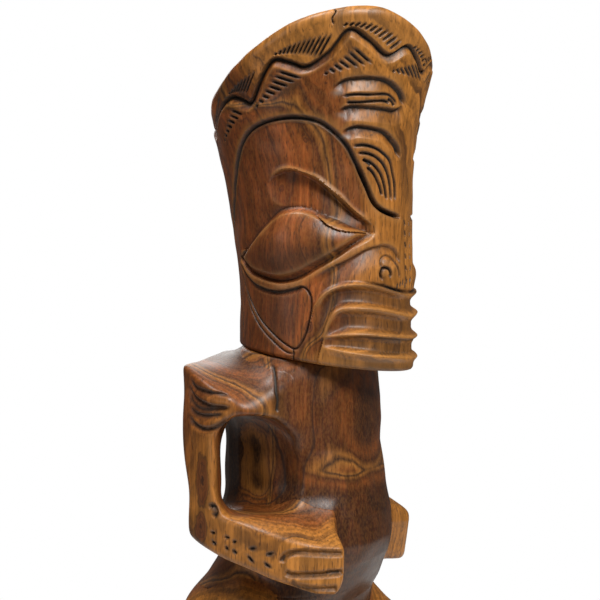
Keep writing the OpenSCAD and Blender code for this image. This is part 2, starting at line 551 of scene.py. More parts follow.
def new_group(name: str, inputs: list[Socket],
              outputs: list[Socket]) -> tuple[bpy.types.NodeTree, Nodes, dict]:
    """Starts a shader node group.

    Args:
        name: Name of the group.
        inputs: Its inputs, with the values that they start at.
        outputs: Its outputs.

    Returns:
        The group, its recipe and its end nodes under "in" and "out".
    """
    tree = bpy.data.node_groups.new(name, "ShaderNodeTree")
    for socket in inputs:
        made = tree.interface.new_socket(socket.name, in_out="INPUT", socket_type=socket.kind)
        if socket.value is not None:
            made.default_value = socket.value
    for socket in outputs:
        tree.interface.new_socket(socket.name, in_out="OUTPUT", socket_type=socket.kind)
    ends = {"in": tree.nodes.new("NodeGroupInput").outputs, "out": tree.nodes.new("NodeGroupOutput").inputs}
    return tree, Nodes(tree), ends


def ring_group() -> bpy.types.NodeTree:
    """Makes the group for growth rings: how far a point is from the log's pith, and the dark bands.

    Returns:
        The group, which gives the distance, the dark bands and the fine lines.
    """
    tree, n, end = new_group(
        "growth_rings",
        [Socket("Place", "NodeSocketVector"), Socket("Bands", value=0.7)],
        [Socket("Distance"), Socket("Band"), Socket("Line")])
    place_in = end["in"]["Place"]
    tall = n.vector("MULTIPLY", place_in, (1.0, 1.0, 0.42))
    slow = n.noise(tall, 15.0, 2.0, 0.45)
    push = n.vector("SCALE", n.vector("SUBTRACT", slow.outputs["Color"], (0.5, 0.5, 0.5)), PITH_WANDER)
    fine = n.noise(tall, 70.0, 2.0, 0.5)
    nudge = n.vector("SCALE", n.vector("SUBTRACT", fine.outputs["Color"], (0.5, 0.5, 0.5)), RING_WOBBLE)
    spot = n.vector("ADD", n.vector("ADD", place_in, push), nudge)
    parts = n.add("ShaderNodeSeparateXYZ", Vector=spot).outputs
    lean = n.maths("MULTIPLY", parts["Z"], PITH_LEAN)
    x = n.maths("ADD", parts["X"], lean)
    x = n.maths("ADD", x, -PITH_X)
    y = n.maths("ADD", parts["Y"], -PITH_Y)
    away = n.maths("SQRT", n.maths("ADD", n.maths("MULTIPLY", x, x), n.maths("MULTIPLY", y, y)))
    flat = {"noise_dimensions": "1D"}
    lines = n.add("ShaderNodeTexNoise", flat, W=away, Scale=620.0, Detail=2.0, Roughness=0.6)
    bands = n.add("ShaderNodeTexNoise", flat, W=away, Scale=210.0, Detail=3.0, Roughness=0.65)
    patch = n.noise(tall, 22.0, 1.0, 0.5)
    dark = n.span(bands.outputs["Fac"], 0.60, 0.68)
    where = n.span(patch.outputs["Fac"], 0.44, 0.58)
    n.feed(end["out"]["Distance"], away)
    n.feed(end["out"]["Band"], n.maths("MULTIPLY", n.maths("MULTIPLY", dark, where), end["in"]["Bands"]))
    n.feed(end["out"]["Line"], lines.outputs["Fac"])
    return tree


def grain_group() -> bpy.types.NodeTree:
    """Makes the group for the long fibres and the short open pores between them.

    Returns:
        The group, which gives the fibres, the pores and pale flecks.
    """
    tree, n, end = new_group(
        "long_grain",
        [Socket("Place", "NodeSocketVector"), Socket("Pores", value=0.6)],
        [Socket("Fibre"), Socket("Pore"), Socket("Fleck")])
    place_in = end["in"]["Place"]
    drawn = n.vector("MULTIPLY", place_in, (1.0, 1.0, 0.045))
    fibre = n.noise(drawn, 650.0, 3.0, 0.6)
    short = n.vector("MULTIPLY", place_in, (1.0, 1.0, 0.13))
    pore = n.noise(short, 1500.0, 1.0, 0.5)
    fleck = n.noise(n.vector("MULTIPLY", place_in, (1.0, 1.0, 0.5)), 1100.0, 1.0, 0.5)
    n.feed(end["out"]["Fibre"], fibre.outputs["Fac"])
    open_pores = n.span(pore.outputs["Fac"], 0.60, 0.70)
    n.feed(end["out"]["Pore"], n.maths("MULTIPLY", open_pores, end["in"]["Pores"]))
    n.feed(end["out"]["Fleck"], n.span(fleck.outputs["Fac"], 0.35, 0.65))
    return tree


def wear_and_shade_group() -> bpy.types.NodeTree:
    """Makes the group that darkens cuts with stain and painted shade, rubs edges lighter with wear and
    painted highlight, and leaves wax dust in the deepest hollows.

    Returns:
        The group, which gives the colour with wear, dust, painted shade and painted highlight, and how dark
        the cuts are.
    """
    tree, n, end = new_group(
        "handling_and_shade",
        [Socket("Colour", "NodeSocketColor"), Socket("Place", "NodeSocketVector"), Socket("Stain"),
         Socket("Worn"), Socket("Dust")],
        [Socket("Colour", "NodeSocketColor"), Socket("Dark")])
    cloud = n.noise(end["in"]["Place"], 160.0, 3.0, 0.6)
    rough_stain_and_shade = n.maths("MULTIPLY", end["in"]["Stain"], n.span(cloud.outputs["Fac"], 0.2, 0.55, 0.75, 1.1))
    dark = n.maths("MINIMUM", rough_stain_and_shade, 1.0)
    # Rubbed wear and painted highlight lighten the colour.
    rubbed_and_highlit = n.blend(n.maths("MULTIPLY", end["in"]["Worn"], 0.5), end["in"]["Colour"], RUBBED_AND_HIGHLIGHT)
    stained_and_shaded = n.blend(dark, rubbed_and_highlit, CUT_STAIN_AND_SHADE)
    patchy = n.span(cloud.outputs["Fac"], 0.35, 0.6, 0.2, 0.8)
    dusty = n.blend(n.maths("MULTIPLY", end["in"]["Dust"], patchy), stained_and_shaded, WAX_DUST)
    n.feed(end["out"]["Colour"], dusty)
    n.feed(end["out"]["Dark"], dark)
    return tree


def knot_group() -> bpy.types.NodeTree:
    """Makes the group for one small knot: an oval of darker wood with fine rings round its middle.

    Returns:
        The group, which gives the colour with the knot in it.
    """
    tree, n, end = new_group(
        "knot",
        [Socket("Colour", "NodeSocketColor"), Socket("Place", "NodeSocketVector"),
         Socket("Centre", "NodeSocketVector"), Socket("Width", value=0.004), Socket("Height", value=0.008)],
        [Socket("Colour", "NodeSocketColor")])
    away = n.vector("SUBTRACT", end["in"]["Place"], end["in"]["Centre"])
    parts = n.add("ShaderNodeSeparateXYZ", Vector=away).outputs
    width, height = end["in"]["Width"], end["in"]["Height"]
    flat = n.maths("SQRT", n.maths("ADD", n.maths("MULTIPLY", parts["X"], parts["X"]),
                                   n.maths("MULTIPLY", parts["Y"], parts["Y"])))
    wide = n.maths("DIVIDE", flat, width)
    tall = n.maths("DIVIDE", parts["Z"], height)
    cloud = n.noise(end["in"]["Place"], 260.0, 2.0, 0.5)
    reach = n.maths("SQRT", n.maths("ADD", n.maths("MULTIPLY", wide, wide), n.maths("MULTIPLY", tall, tall)))
    reach = n.maths("ADD", reach, n.span(cloud.outputs["Fac"], 0.2, 0.8, -0.16, 0.16))
    rings = n.maths("SINE", n.maths("MULTIPLY", reach, 22.0))
    inner = n.span(reach, 1.0, 0.82)
    ring = n.maths("MULTIPLY", n.span(rings, -0.4, 1.0, 0.0, 0.35), inner)
    rim = n.maths("MULTIPLY", n.span(reach, 0.82, 0.97), n.span(reach, 1.12, 0.97))
    eye = n.span(reach, 0.26, 0.1)
    colour = n.blend(n.maths("MULTIPLY", inner, 0.75), end["in"]["Colour"], KNOT_WOOD)
    dark = n.maths("MAXIMUM", ring, n.maths("MULTIPLY", rim, 0.6))
    dark = n.maths("MAXIMUM", dark, n.maths("MULTIPLY", eye, 0.8))
    n.feed(end["out"]["Colour"], n.blend(dark, colour, KNOT_DARK))
    return tree


@dataclass(frozen=True)
class Knot:
    """A small knot in the wood, in metres."""

    centre: tuple[float, float, float]
    width: float
    height: float


@dataclass(frozen=True)
class OiledWood:
    """Oiled rosewood, golden near the bark and red-brown with dark bands towards the pith.

    Attributes:
        name: Name of the material.
        slot: The record's material slot.
        rings: Distance from the pith in millimetres, and the wood's colour there.
        heartwood: Brightness of the wood nearest the pith.
        bands: Strength of the dark bands.
        roughness: Roughness of the oiled surface.
        knots: Small knots that show on the surface.
    """

    name: str
    slot: str
    rings: tuple[tuple[float, Colour], ...] = (
        (29, (0.046, 0.011, 0.002)), (35, (0.078, 0.020, 0.004)), (41, (0.122, 0.033, 0.006)),
        (45, (0.050, 0.013, 0.003)), (47.2, (0.180, 0.068, 0.013)), (48.6, (0.026, 0.010, 0.004)),
        (49.6, (0.210, 0.082, 0.016)), (51.0, (0.140, 0.043, 0.008)), (51.8, (0.036, 0.012, 0.004)),
        (53, (0.125, 0.034, 0.006)), (57.0, (0.135, 0.037, 0.006)), (61, (0.240, 0.088, 0.014)),
        (70, (0.285, 0.112, 0.019)))
    heartwood: float = 1.0
    bands: float = 0.8
    roughness: float = 0.40
    knots: tuple[Knot, ...] = ()

    def build(self, groups: dict[str, bpy.types.NodeTree]) -> bpy.types.Material:
        """Builds the material from the shared groups.

        Args:
            groups: The shared node groups by name.

        Returns:
            The material.
        """
        material = bpy.data.materials.new(self.name)
        material.use_nodes = True
        n = Nodes(material.node_tree)
        shader = material.node_tree.nodes["Principled BSDF"]
        spot = n.add("ShaderNodeTexCoord").outputs["Object"]
        rings = n.add("ShaderNodeGroup", {"node_tree": groups["rings"]}, Place=spot, Bands=self.bands)
        grain = n.add("ShaderNodeGroup", {"node_tree": groups["grain"]}, Place=spot, Pores=0.6)
        marks = {name: n.add("ShaderNodeAttribute", {"attribute_name": name}).outputs["Fac"]
                 for name in MARKS}
        heart = n.maths("MULTIPLY", marks["heart"], HEART_REACH)
        inward = n.maths("SUBTRACT", rings.outputs["Distance"], heart)
        inward = n.maths("ADD", inward, n.maths("MULTIPLY", marks["sap"], SAP_REACH))
        colour = self.ring_colour(n, inward)
        line = n.span(rings.outputs["Line"], 0.3, 0.7, 0.72, 1.2)
        fibre = n.span(grain.outputs["Fibre"], 0.3, 0.7, 0.70, 1.28)
        for shade in (line, fibre):
            grey = n.add("ShaderNodeCombineColor", Red=shade, Green=shade, Blue=shade).outputs[0]
            colour = n.blend(1.0, colour, grey, "MULTIPLY")
        colour = n.blend(n.maths("MULTIPLY", grain.outputs["Fleck"], 0.14), colour, PALE_FLECK)
        colour = n.blend(rings.outputs["Band"], colour, BAND_DARK)
        for knot in self.knots:
            colour = n.add("ShaderNodeGroup", {"node_tree": groups["knot"]}, Colour=colour, Place=spot,
                           Centre=knot.centre, Width=knot.width, Height=knot.height).outputs["Colour"]
        colour = n.blend(grain.outputs["Pore"], colour, PORE_DARK)
        wear_and_shade = n.add("ShaderNodeGroup", {"node_tree": groups["wear_and_shade"]}, Colour=colour, Place=spot,
                     Stain=marks["stain_and_shade"], Worn=marks["worn"], Dust=marks["dust"])
        n.feed(shader.inputs["Base Color"], wear_and_shade.outputs["Colour"])
        rough = n.span(grain.outputs["Fibre"], 0.2, 0.8, self.roughness - 0.05, self.roughness + 0.07)
        dull = n.maths("MULTIPLY", wear_and_shade.outputs["Dark"], 0.2)
        n.feed(shader.inputs["Roughness"], n.maths("ADD", rough, dull))
        shader.inputs["Specular IOR Level"].default_value = 0.30
        shader.inputs["Coat Weight"].default_value = 0.05
        shader.inputs["Coat Roughness"].default_value = 0.28
        height = n.maths("SUBTRACT", n.maths("MULTIPLY", grain.outputs["Fibre"], 0.35), grain.outputs["Pore"])
        bump = n.add("ShaderNodeBump", Strength=0.3, Distance=0.0002, Height=height)
        n.feed(shader.inputs["Normal"], bump.outputs[0])
        return material

    def ring_colour(self, n: Nodes, distance: bpy.types.NodeSocket) -> bpy.types.NodeSocket:
        """Reads the wood's colour at a distance from the pith.

        Args:
            n: The material's recipe.
            distance: Distance from the pith in metres.

        Returns:
            The colour.
        """
        low, high = self.rings[0][0], self.rings[-1][0]
        ramp = n.add("ShaderNodeValToRGB", Fac=n.span(distance, low * MM, high * MM, smooth=False))
        keys = ramp.color_ramp.elements
        for at, _ in self.rings[1:-1]:
            keys.new((at - low) / (high - low))
        for i, (_, shade) in enumerate(self.rings):
            glow = self.heartwood if i < 2 else 1.0
            keys[i].color = (*(glow * part for part in shade), 1)
        return ramp.outputs["Color"]


@dataclass
class Workshop:
    """Shared finishes, and the way each finished piece is handed to the frame."""

    groups: dict[str, bpy.types.NodeTree] = field(default_factory=dict)
    woods: dict[str, bpy.types.Material] = field(default_factory=dict)

    def __post_init__(self) -> None:
        """Builds the shared groups and the three woods."""
        self.groups = {"rings": ring_group(), "grain": grain_group(),
                       "wear_and_shade": wear_and_shade_group(), "knot": knot_group()}
        head_knots = (
            Knot((-0.0445, -0.0125, 0.3385), 0.0016, 0.0022), Knot((-0.0425, 0.0005, 0.317), 0.0013, 0.0018),
            Knot((-0.0418, 0.010, 0.343), 0.0014, 0.0020), Knot((-0.0405, -0.0125, 0.2525), 0.0024, 0.0030))
        arm_knots = (
            Knot((-0.0631, 0.0313, 0.182), 0.0046, 0.0125), Knot((-0.0630, 0.0320, 0.1605), 0.0040, 0.0075),
            Knot((-0.0350, 0.0080, 0.1790), 0.0016, 0.0020))
        for wood in (OiledWood("head_rosewood", "head_wood", heartwood=2.7, bands=0.6, knots=head_knots),
                     OiledWood("body_rosewood", "body_wood", heartwood=0.6, bands=0.8, knots=arm_knots),
                     OiledWood("plinth_rosewood", "plinth_wood", bands=0.8, roughness=0.48)):
            self.woods[wood.slot] = wood.build(self.groups)

    def hand_over(self, piece: bpy.types.Object, slot: str, *nodes: str) -> None:
        """Dresses a finished piece and puts it on the frame in place of its solids.

        Args:
            piece: The finished piece.
            slot: The record's material slot.
            *nodes: The solids that it stands for.
        """
        piece.data.materials.clear()
        piece.data.materials.append(self.woods[slot])
        for name in MARKS:
            if name not in piece.data.attributes:
                mark(piece, name, np.zeros(len(piece.data.vertices)))
        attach(piece, "root")
        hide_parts(*nodes)
        piece.data.calc_loop_triangles()
        log.info("%s: %d triangles", piece.name, len(piece.data.loop_triangles))


# ---------------------------------------------------------------------------
# Head and crown
# ---------------------------------------------------------------------------
@dataclass(frozen=True)
class HeadForm:
    """The turned form that the face is carved into: a drum that flares towards its crown.

    Attributes:
        radius_low: Radius of the drum below its flare.
        flare: How much wider it is at the flare level.
        flare_level: Level at which the flare is measured.
        wave: Angle and level of the wavy groove on the right side.
        rim: Angle and level of the crown's rim.
        fall: How much lower the wavy groove runs on the left side.
        groove: Depth of the wavy groove.
    """

    radius_low: float = 42.6
    flare: float = 13.0
    flare_level: float = 104.0
    wave: tuple[Point, ...] = (
        (-10, 113.5), (0, 108.5), (9, 113.5), (18, 117.5), (29, 112), (40, 117.5), (50, 121.5), (59, 111.5),
        (69, 105.5), (77, 107.5), (85, 109), (92, 102.5), (100, 91.5), (107, 93.5), (114, 95), (122, 93),
        (130, 89.5), (143, 82), (156, 87), (168, 84), (180, 80), (192, 84))
    rim: tuple[Point, ...] = (
        (-180, 96), (-150, 96), (-115, 101), (-72, 113), (-42, 116), (-20, 118), (0, 123.5), (22, 130),
        (42, 133), (72, 126.3), (96, 115.6), (115, 107), (130, 101), (150, 96), (180, 96))
    fall: float = 11.5
    groove: float = 2.5

    def radius(self, level: Array) -> Array:
        """Returns the radius at a level."""
        return self.radius_low + self.flare * (np.maximum(level, 0) / self.flare_level) ** 2

    def shift(self, level: Array) -> Array:
        """Returns how far the form's centre stands behind the plinth's centre at a level."""
        return np.minimum(-2.8 + 0.075 * np.maximum(level, 0), 3.2)

    def chin_cut(self, y: Array) -> Array:
        """Returns the level of the flat cut under the chin, at a distance y behind the centre."""
        return -34.0 + 0.15 * (y + 45.0)

    def drop(self, angle: Array) -> Array:
        """Returns how much lower the wavy groove runs on the left side, where the crown falls away."""
        start = ease((-angle - 8) / 30) * ease((180 + angle) / 50)
        return self.fall * start * (1 - 0.5 * ease((-angle - 60) / 30))

    def wave_level(self, angle: Array) -> Array:
        """Returns the level of the wavy groove at an angle."""
        return self.read(self.wave, np.abs(angle)) - self.drop(angle)

    def rim_level(self, angle: Array) -> Array:
        """Returns the level of the crown's rim at an angle."""
        return self.read(self.rim, angle)

    def read(self, keys: tuple[Point, ...], angle: Array) -> Array:
        """Returns the level of a smooth curve through keys of angle and level."""
        path = Line(keys).trace(lambda level: np.full_like(level, 180 / math.pi))
        return np.interp(angle, path[:, 0], path[:, 1])

    def points(self, angle: Array, level: Array, radius: Array) -> Array:
        """Returns points in the part's own place, from angle, level and radius."""
        turn = np.radians(angle)
        return np.column_stack([-radius * np.sin(turn), self.shift(level) - radius * np.cos(turn),
                                HEAD_LEVEL + level])


@dataclass
class Tube:
    """A sheet that is rolled round the head's form, and drawn in to the middle at both ends.

    Attributes:
        name: Name of the piece.
        columns: Number of faces round the form.
        under_rows: Rows of vertices on the under side.
        side_rows: Rows of vertices on the side.
        top_rows: Rows of vertices on the top.
        rows: Rows of vertices altogether.
        piece: The sheet.
        angle: Angle of each vertex.
        part: How far up the side each vertex is, 0 to 1.
        out: How far out from the axis each vertex is, 1 on the side and less at the ends.
        under: Which vertices lie on the under side.
        top: Which vertices lie on the top.
        rim: Which vertices lie in the highest row of the side.
    """

    name: str
    columns: int
    under_rows: int
    side_rows: int
    top_rows: int
    rows: int = field(init=False)
    piece: bpy.types.Object = field(init=False)
    angle: Array = field(init=False)
    part: Array = field(init=False)
    out: Array = field(init=False)
    under: Array = field(init=False)
    top: Array = field(init=False)
    rim: Array = field(init=False)

    def __post_init__(self) -> None:
        """Adds the flat sheet, and notes which place each of its vertices will have."""
        self.rows = self.under_rows + self.side_rows + self.top_rows
        self.piece = sheet(self.name, self.columns + 1, self.rows)
        flat = places(self.piece) * MM
        row = np.rint((flat[:, 1] + 1) / 2 * (self.rows - 1))
        self.angle = flat[:, 0] * 180.0
        self.part = np.clip((row - self.under_rows) / (self.side_rows - 1), 0, 1)
        self.under = row < self.under_rows
        self.top = row >= self.under_rows + self.side_rows
        self.rim = row == self.under_rows + self.side_rows - 1
        self.out = np.minimum(np.minimum(row / self.under_rows, (self.rows - 1 - row) / self.top_rows), 1)

    def draw_in(self, points: Array, level: Array, where: Array) -> None:
        """Draws an end in to a point on the axis, deep in the wood.

        Args:
            points: The points, which are moved in place.
            level: Level of each point before.
            where: Which points belong to the end.
        """
        out = self.out[where]
        points[where, :2] *= out[:, None]
        points[where, 2] = HEAD_LEVEL + CORE_LEVEL + (level[where] - CORE_LEVEL) * out

    def hand_over(self, shop: Workshop, points: Array, stain_and_shade: Array, node: str) -> None:
        """Rolls the sheet up, shades it and hands it over.

        Args:
            shop: The workshop that finishes it.
            points: Where each vertex goes.
            stain_and_shade: How dark each cut is made, partly stain and partly painted shade.
            node: The solid that the piece stands for.
        """
        place(self.piece, points)
        mark(self.piece, "stain_and_shade", np.where(self.under | self.top, 0.0, stain_and_shade))
        close_tube(self.piece)
        thin(self.piece)
        round_off(self.piece, 60)
        shop.hand_over(self.piece, "head_wood", node)


@dataclass
class Head:
    """The head, from the cut under the chin to the wavy groove, with its whole carved face."""

    form: HeadForm = field(default_factory=HeadForm)
    columns: int = 760
    rows: int = 400
    under_rows: int = 7
    top_rows: int = 5
    chin_round: float = 2.2
    lip_proud: float = 1.6
    lip_depths: tuple[float, ...] = (3.6, 3.3, 3.1, 2.2)
    nose_rise: float = 0.9
    wing_rise: float = 1.7
    fold_depth: float = 1.7
    brow_undercut: float = 3.3
    ball_swell: float = 2.5
    lid_depth: float = 1.9
    panel: Line = Line((
        (152, 30), (141, 40), (133, 48), (122, 62), (115, 70), (107, 76.5), (98, 80.5), (87, 82.5), (76, 83),
        (65, 81.5), (57, 77.5), (49, 71), (43, 62.5), (37, 53.5), (33, 47), (29, 43.5), (24, 41.5), (16, 40),
        (8, 39)))
    panel_back: Line = Line(((152, 30), (147, 18), (143, 6), (138, -8), (134, -20)))
    brow: Line = Line((
        (97, 55.5), (93, 58), (87, 60), (81, 60.3), (75, 59), (67, 56), (59, 51), (50, 45), (42, 40),
        (33, 36)))
    lid_high: Line = Line((
        (133, 21), (125, 23.5), (117, 27.5), (106, 34), (97, 39), (89, 42), (79, 43), (72, 42), (63, 39),
        (51, 35.5), (42, 33), (32, 31)))
    lid_low: Line = Line((
        (133, 21), (125, 16.5), (117, 13), (103, 10), (92, 9), (81, 11), (71, 15), (58, 20.5), (45, 26.5),
        (32, 31)))
    ball_edge: Line = Line(((70, 41), (65, 36.5), (60, 33.5), (52, 31.5), (42, 31.2), (34, 31)))
    lid_fold: Line = Line(((134, 18), (124, 11), (112, 6), (97, 3.8), (85, 5), (79, 6.5)))
    cheek_fold: Line = Line((
        (80, 6), (69, 11), (59, 15), (49, 18.5), (40, 22), (33, 23.8), (24, 25), (17, 24), (13, 21.5),
        (11, 16)))
    shield: Line = Line((
        (85, 5), (80, 6), (77, 4.5), (75, 1), (75, -5), (77, -12), (80, -18), (85, -22.5), (92, -20.5),
        (101, -16), (112, -9.5), (122, -2), (130, 7), (135, 17)))
    shield_rim: Line = Line(((84, -25), (92, -24), (102, -19), (114, -12), (124, -4), (132, 5)))
    nostril: tuple[Line, ...] = (
        Line(((28, 14.5), (27.5, 18.5), (23, 20.8), (17.5, 19), (13, 14), (12, 10))),
        Line(((27, 9), (28.5, 12), (26.5, 14.8), (22.5, 14.5), (21, 11.8), (23, 10.5))))
    lips: tuple[Line, ...] = (
        Line(((76, -12), (74.5, -7.5), (72, -2.5), (69, 1), (65, 3.6), (59, 5.8), (50, 7), (40, 7), (29, 5.8),
              (15, 3.6), (0, 2.6), (-12, 3.4))),
        Line(((67, -17), (65.5, -13), (63, -8.8), (60, -5.8), (54, -4), (44, -4), (29, -5), (9, -7.2),
              (0, -7.6), (-12, -7))),
        Line(((72, -17.5), (57, -16.2), (44, -16), (25, -17), (9, -17.8), (0, -18), (-12, -17.8))),
        Line(((80, -20), (66, -22.2), (54, -24), (37, -26), (15, -27.3), (0, -27.8), (-12, -27.4))),
        Line(((80, -31), (60, -34), (30, -36), (0, -37), (-12, -36.5))))
    brow_leaves: tuple[Line, ...] = (
        Line(((57, 95), (52, 98.8), (47, 100.3), (38, 101.2), (29, 101), (22, 99), (16, 95.5), (12, 90))),
        Line(((54, 85.5), (47, 88), (36, 88.3), (26, 88.2), (19, 88.3), (12, 91))),
        Line(((52, 76), (44, 79), (36, 79.2), (26, 78), (19, 75), (13, 71.5), (10, 66))))
    leaf_veins: tuple[Line, ...] = (
        Line(((52, 92.5), (45, 93.6), (37, 94), (27, 95), (22, 93.8), (18, 91))),
        Line(((50, 89.8), (42, 90.3), (35, 91.2), (28, 91.8), (24, 91))),
        Line(((26, 93), (23, 92.2), (21, 90.2))))
    quarter_lines: tuple[Line, ...] = (
        Line(((46, 70.5), (39, 71.2), (32, 70.5), (26, 68.5), (20, 65), (17, 59.5), (14.5, 53), (14, 46))),
        Line(((43, 67.5), (37, 67.6), (31, 66.4), (25, 63.2), (21, 58.5), (18.5, 52), (17.5, 46))),
        Line(((40, 64.6), (35, 63.8), (30, 61.4), (26, 58), (23.2, 52.5), (21.5, 46.5))),
        Line(((37, 61.5), (33, 59.5), (29.8, 56.5), (27, 52.5), (25.5, 48.5))),
        Line(((39, 65), (34, 62.4))))
    ladders: tuple[Ladder, ...] = (
        Ladder(((49, 114.4), (37, 107)), ((61, 102.6), (59, 101.8)), 7),
        Ladder(((84, 104), (71, 99.8)), ((97, 90), (95.5, 88.8)), 8),
        Ladder(((115.5, 89.5), (106, 86)), ((128, 77), (126.5, 76)), 7),
        Ladder(((12.5, 111.5), (1.5, 103)), ((25.5, 106), (24, 105)), 7))
    bridge_nicks: tuple[Line, ...] = tuple(
        Line(((4.5, z), (2.8, z - 3.4)), straight=True) for z in (38.5, 33.5, 28, 22.5, 17, 11.5))

    def build(self, shop: Workshop) -> None:
        """Carves, finishes and hands over the head.

        Args:
            shop: The workshop that finishes it.
        """
        tube = Tube("carved_head", self.columns, self.under_rows, self.rows, self.top_rows)
        angle, under = tube.angle, tube.under
        edge = self.form.radius_low * 0.97
        low = self.form.chin_cut(self.form.shift(np.zeros(1)) - edge * np.cos(np.radians(angle)))
        high = self.form.wave_level(angle)
        level = low + (high - low) * tube.part
        evened = level + self.form.drop(angle) * ease((level - 45) / 45)
        relief = Relief(np.abs(angle), evened, self.form.radius)
        self.carve(relief)
        radius = self.form.radius(level) - relief.depth
        start = np.clip((level - low) / self.chin_round, 0, 1)
        radius -= self.chin_round * (1 - np.sqrt(1 - (1 - start) ** 2))
        points = self.hand_waves(self.form.points(angle, level, radius))
        points[under, :2] *= tube.out[under, None]
        points[under, 2] = HEAD_LEVEL + self.form.chin_cut(points[under, 1])
        tube.draw_in(points, level, tube.top)
        soft = self.soften(relief.depth, tube.rows)
        chin = 0.7 * ease((-22 - relief.level) / 8) * (1 - ease((relief.angle - 74) / 14))
        mark(tube.piece, "worn", np.where(under | tube.top, 0.0, np.maximum(soft, chin)))
        mark(tube.piece, "dust", self.dust(relief))
        mark(tube.piece, "heart", self.heart(relief))
        mark(tube.piece, "sap", self.sap(relief))
        tube.hand_over(shop, points, relief.stain_and_shade, "head")

    def hand_waves(self, points: Array) -> Array:
        """Adds the slight unevenness of hand work."""
        lift = Unevenness(0.16, 13, 4).at(*points.T) + Unevenness(0.30, 42, 5).at(*points.T)
        centre = np.array([0.0, -1.5])
        out = points[:, :2] - centre
        points[:, :2] += out / np.linalg.norm(out, axis=1)[:, None].clip(1) * lift[:, None]
        return points

    def soften(self, depth: Array, rows: int) -> Array:
        """Finds the edges that stand proud of their surroundings, where hands rub them lighter.

        Args:
            depth: Depth of the carving at each vertex.
            rows: Number of rows of vertices.

        Returns:
            How rubbed each vertex is.
        """
        grid = depth.reshape(rows, -1)
        wide = grid.copy()
        reach = 6
        for axis in (0, 1):
            wide = sum(np.roll(wide, k, axis=axis) for k in range(-reach, reach + 1)) / (2 * reach + 1)
        return ease((wide - grid).ravel() / 0.55) * 0.9

    def dust(self, relief: Relief) -> Array:
        """Finds where pale wax has dried, in the valleys of the wavy groove and the leaves' first ends.

        Args:
            relief: The carving.

        Returns:
            How dusty each point is.
        """
        dust = np.zeros_like(relief.depth)
        n = relief.near(Line(self.form.wave), 3.2)
        bank = ease((3.2 - n.away) / 1.5) * ease((n.away - 0.6) / 0.8)
        for valley in (30, 64, 99):
            close = np.exp(-((relief.angle[n.index] - valley) / 4.0) ** 2)
            dust[n.index] = np.maximum(dust[n.index], close * bank)
        for leaf in self.brow_leaves:
            angle, level = leaf.points[0]
            reach = np.hypot((relief.angle - angle + 3) / 4.5, (relief.level - level + 1.2) / 1.5)
            dust = np.maximum(dust, 0.8 * (1 - ease(reach / 1.2)))
        return dust

    def heart(self, relief: Relief) -> Array:
        """Returns where the carving reaches darker wood: inside the eye panels and on the jaws."""
        angle, level = relief.angle, relief.level
        panel = ease(1.6 - ((angle - 92) / 46) ** 2 * 1.4 - ((level - 30) / 55) ** 2 * 1.2)
        low = 0.22 * ease((20 - level) / 10)
        return np.clip((0.26 + low) * panel * ease((angle - 50) / 22), 0, 1)

    def sap(self, relief: Relief) -> Array:
        """Returns where the golden wood near the bark is left: under the crown and round the chin."""
        angle, level = relief.angle, relief.level
        temple = ease((level - 84) / 10) * ease((angle - 72) / 25) * (0.3 + 0.7 * ease((160 - angle) / 40))
        chin = ease((-14 - level) / 12) * (1 - ease((angle - 74) / 14))
        return np.maximum(temple, 0.5 * chin)

    def carve(self, relief: Relief) -> None:
        """Cuts the whole face."""
        self.carve_lips(relief)
        self.carve_nose(relief)
        self.carve_eye(relief)
        self.carve_forehead(relief)
        self.carve_wave(relief)

    def carve_lips(self, relief: Relief) -> None:
        """Hollows the wood between the lips, which leaves their sharp edges standing.

        Args:
            relief: The carving.
        """
        angle, level = relief.angle, relief.level
        fade = 1 - ease((angle - 52) / 20)
        window = (angle < 90) & (level < 14)
        proud = np.zeros_like(relief.depth)
        upper = relief.near(self.lips[0], 60)
        inside = np.zeros_like(relief.depth, dtype=bool)
        inside[upper.index] = upper.below
        proud[window & inside] = -self.lip_proud
        rim = np.zeros_like(proud)
        swell = -self.lip_proud * np.clip(1 - upper.away / 2.2, 0, 1) ** 2
        rim[upper.index] = np.where(upper.below, 0, swell)
        relief.depth += np.where(window, proud * ease((76 - angle) / 8) + rim * ease((78 - angle) / 6), 0)
        front = 0.55 + 0.45 * ease((angle - 3) / 17)
        for i, depth in enumerate(self.lip_depths):
            top, low = relief.near(self.lips[i], 24), relief.near(self.lips[i + 1], 24)
            a = np.full_like(relief.depth, -1.0)
            b = np.full_like(relief.depth, -1.0)
            a[top.index] = np.where(top.below, top.away, -1)
            b[low.index] = np.where(low.below, -1, low.away)
            between = (a > 0) & (b > 0) & window
            share = np.where(between, a / np.maximum(a + b, 1e-6), 0)
            bowl = ease(4 * share * (1 - share))**1.1
            room = ease((a + b) / 7)
            side_fade = fade if i else 1 - ease((angle - 62) / 13)
            relief.depth += np.where(between, depth * front * bowl * room * side_fade, 0)
            # Painted shade: the valley between each pair of lips is darkened under the crest above it.
            relief.stain_and_shade = np.maximum(relief.stain_and_shade, np.where(between, 0.42 * bowl**3 * side_fade, 0))
        third = Line(tuple((a, z - 1.2) for a, z in self.lips[2].points if a < 66))
        relief.cut(third, 0.8, 0.5, stain_and_shade=0.55, ends=0.2)
        shade = Line(tuple((a, z + 0.9) for a, z in self.lips[0].points if a < 52))
        relief.cut(shade, 1.1, 1.7, stain_and_shade=1.0, ends=0.45)
        for a in range(2, 32, 3):
            dot = Line(((a, -24.6), (a + 0.6, -24.9)), straight=True)
            relief.cut(dot, 0.9, 0.6, stain_and_shade=0.55, ends=0)

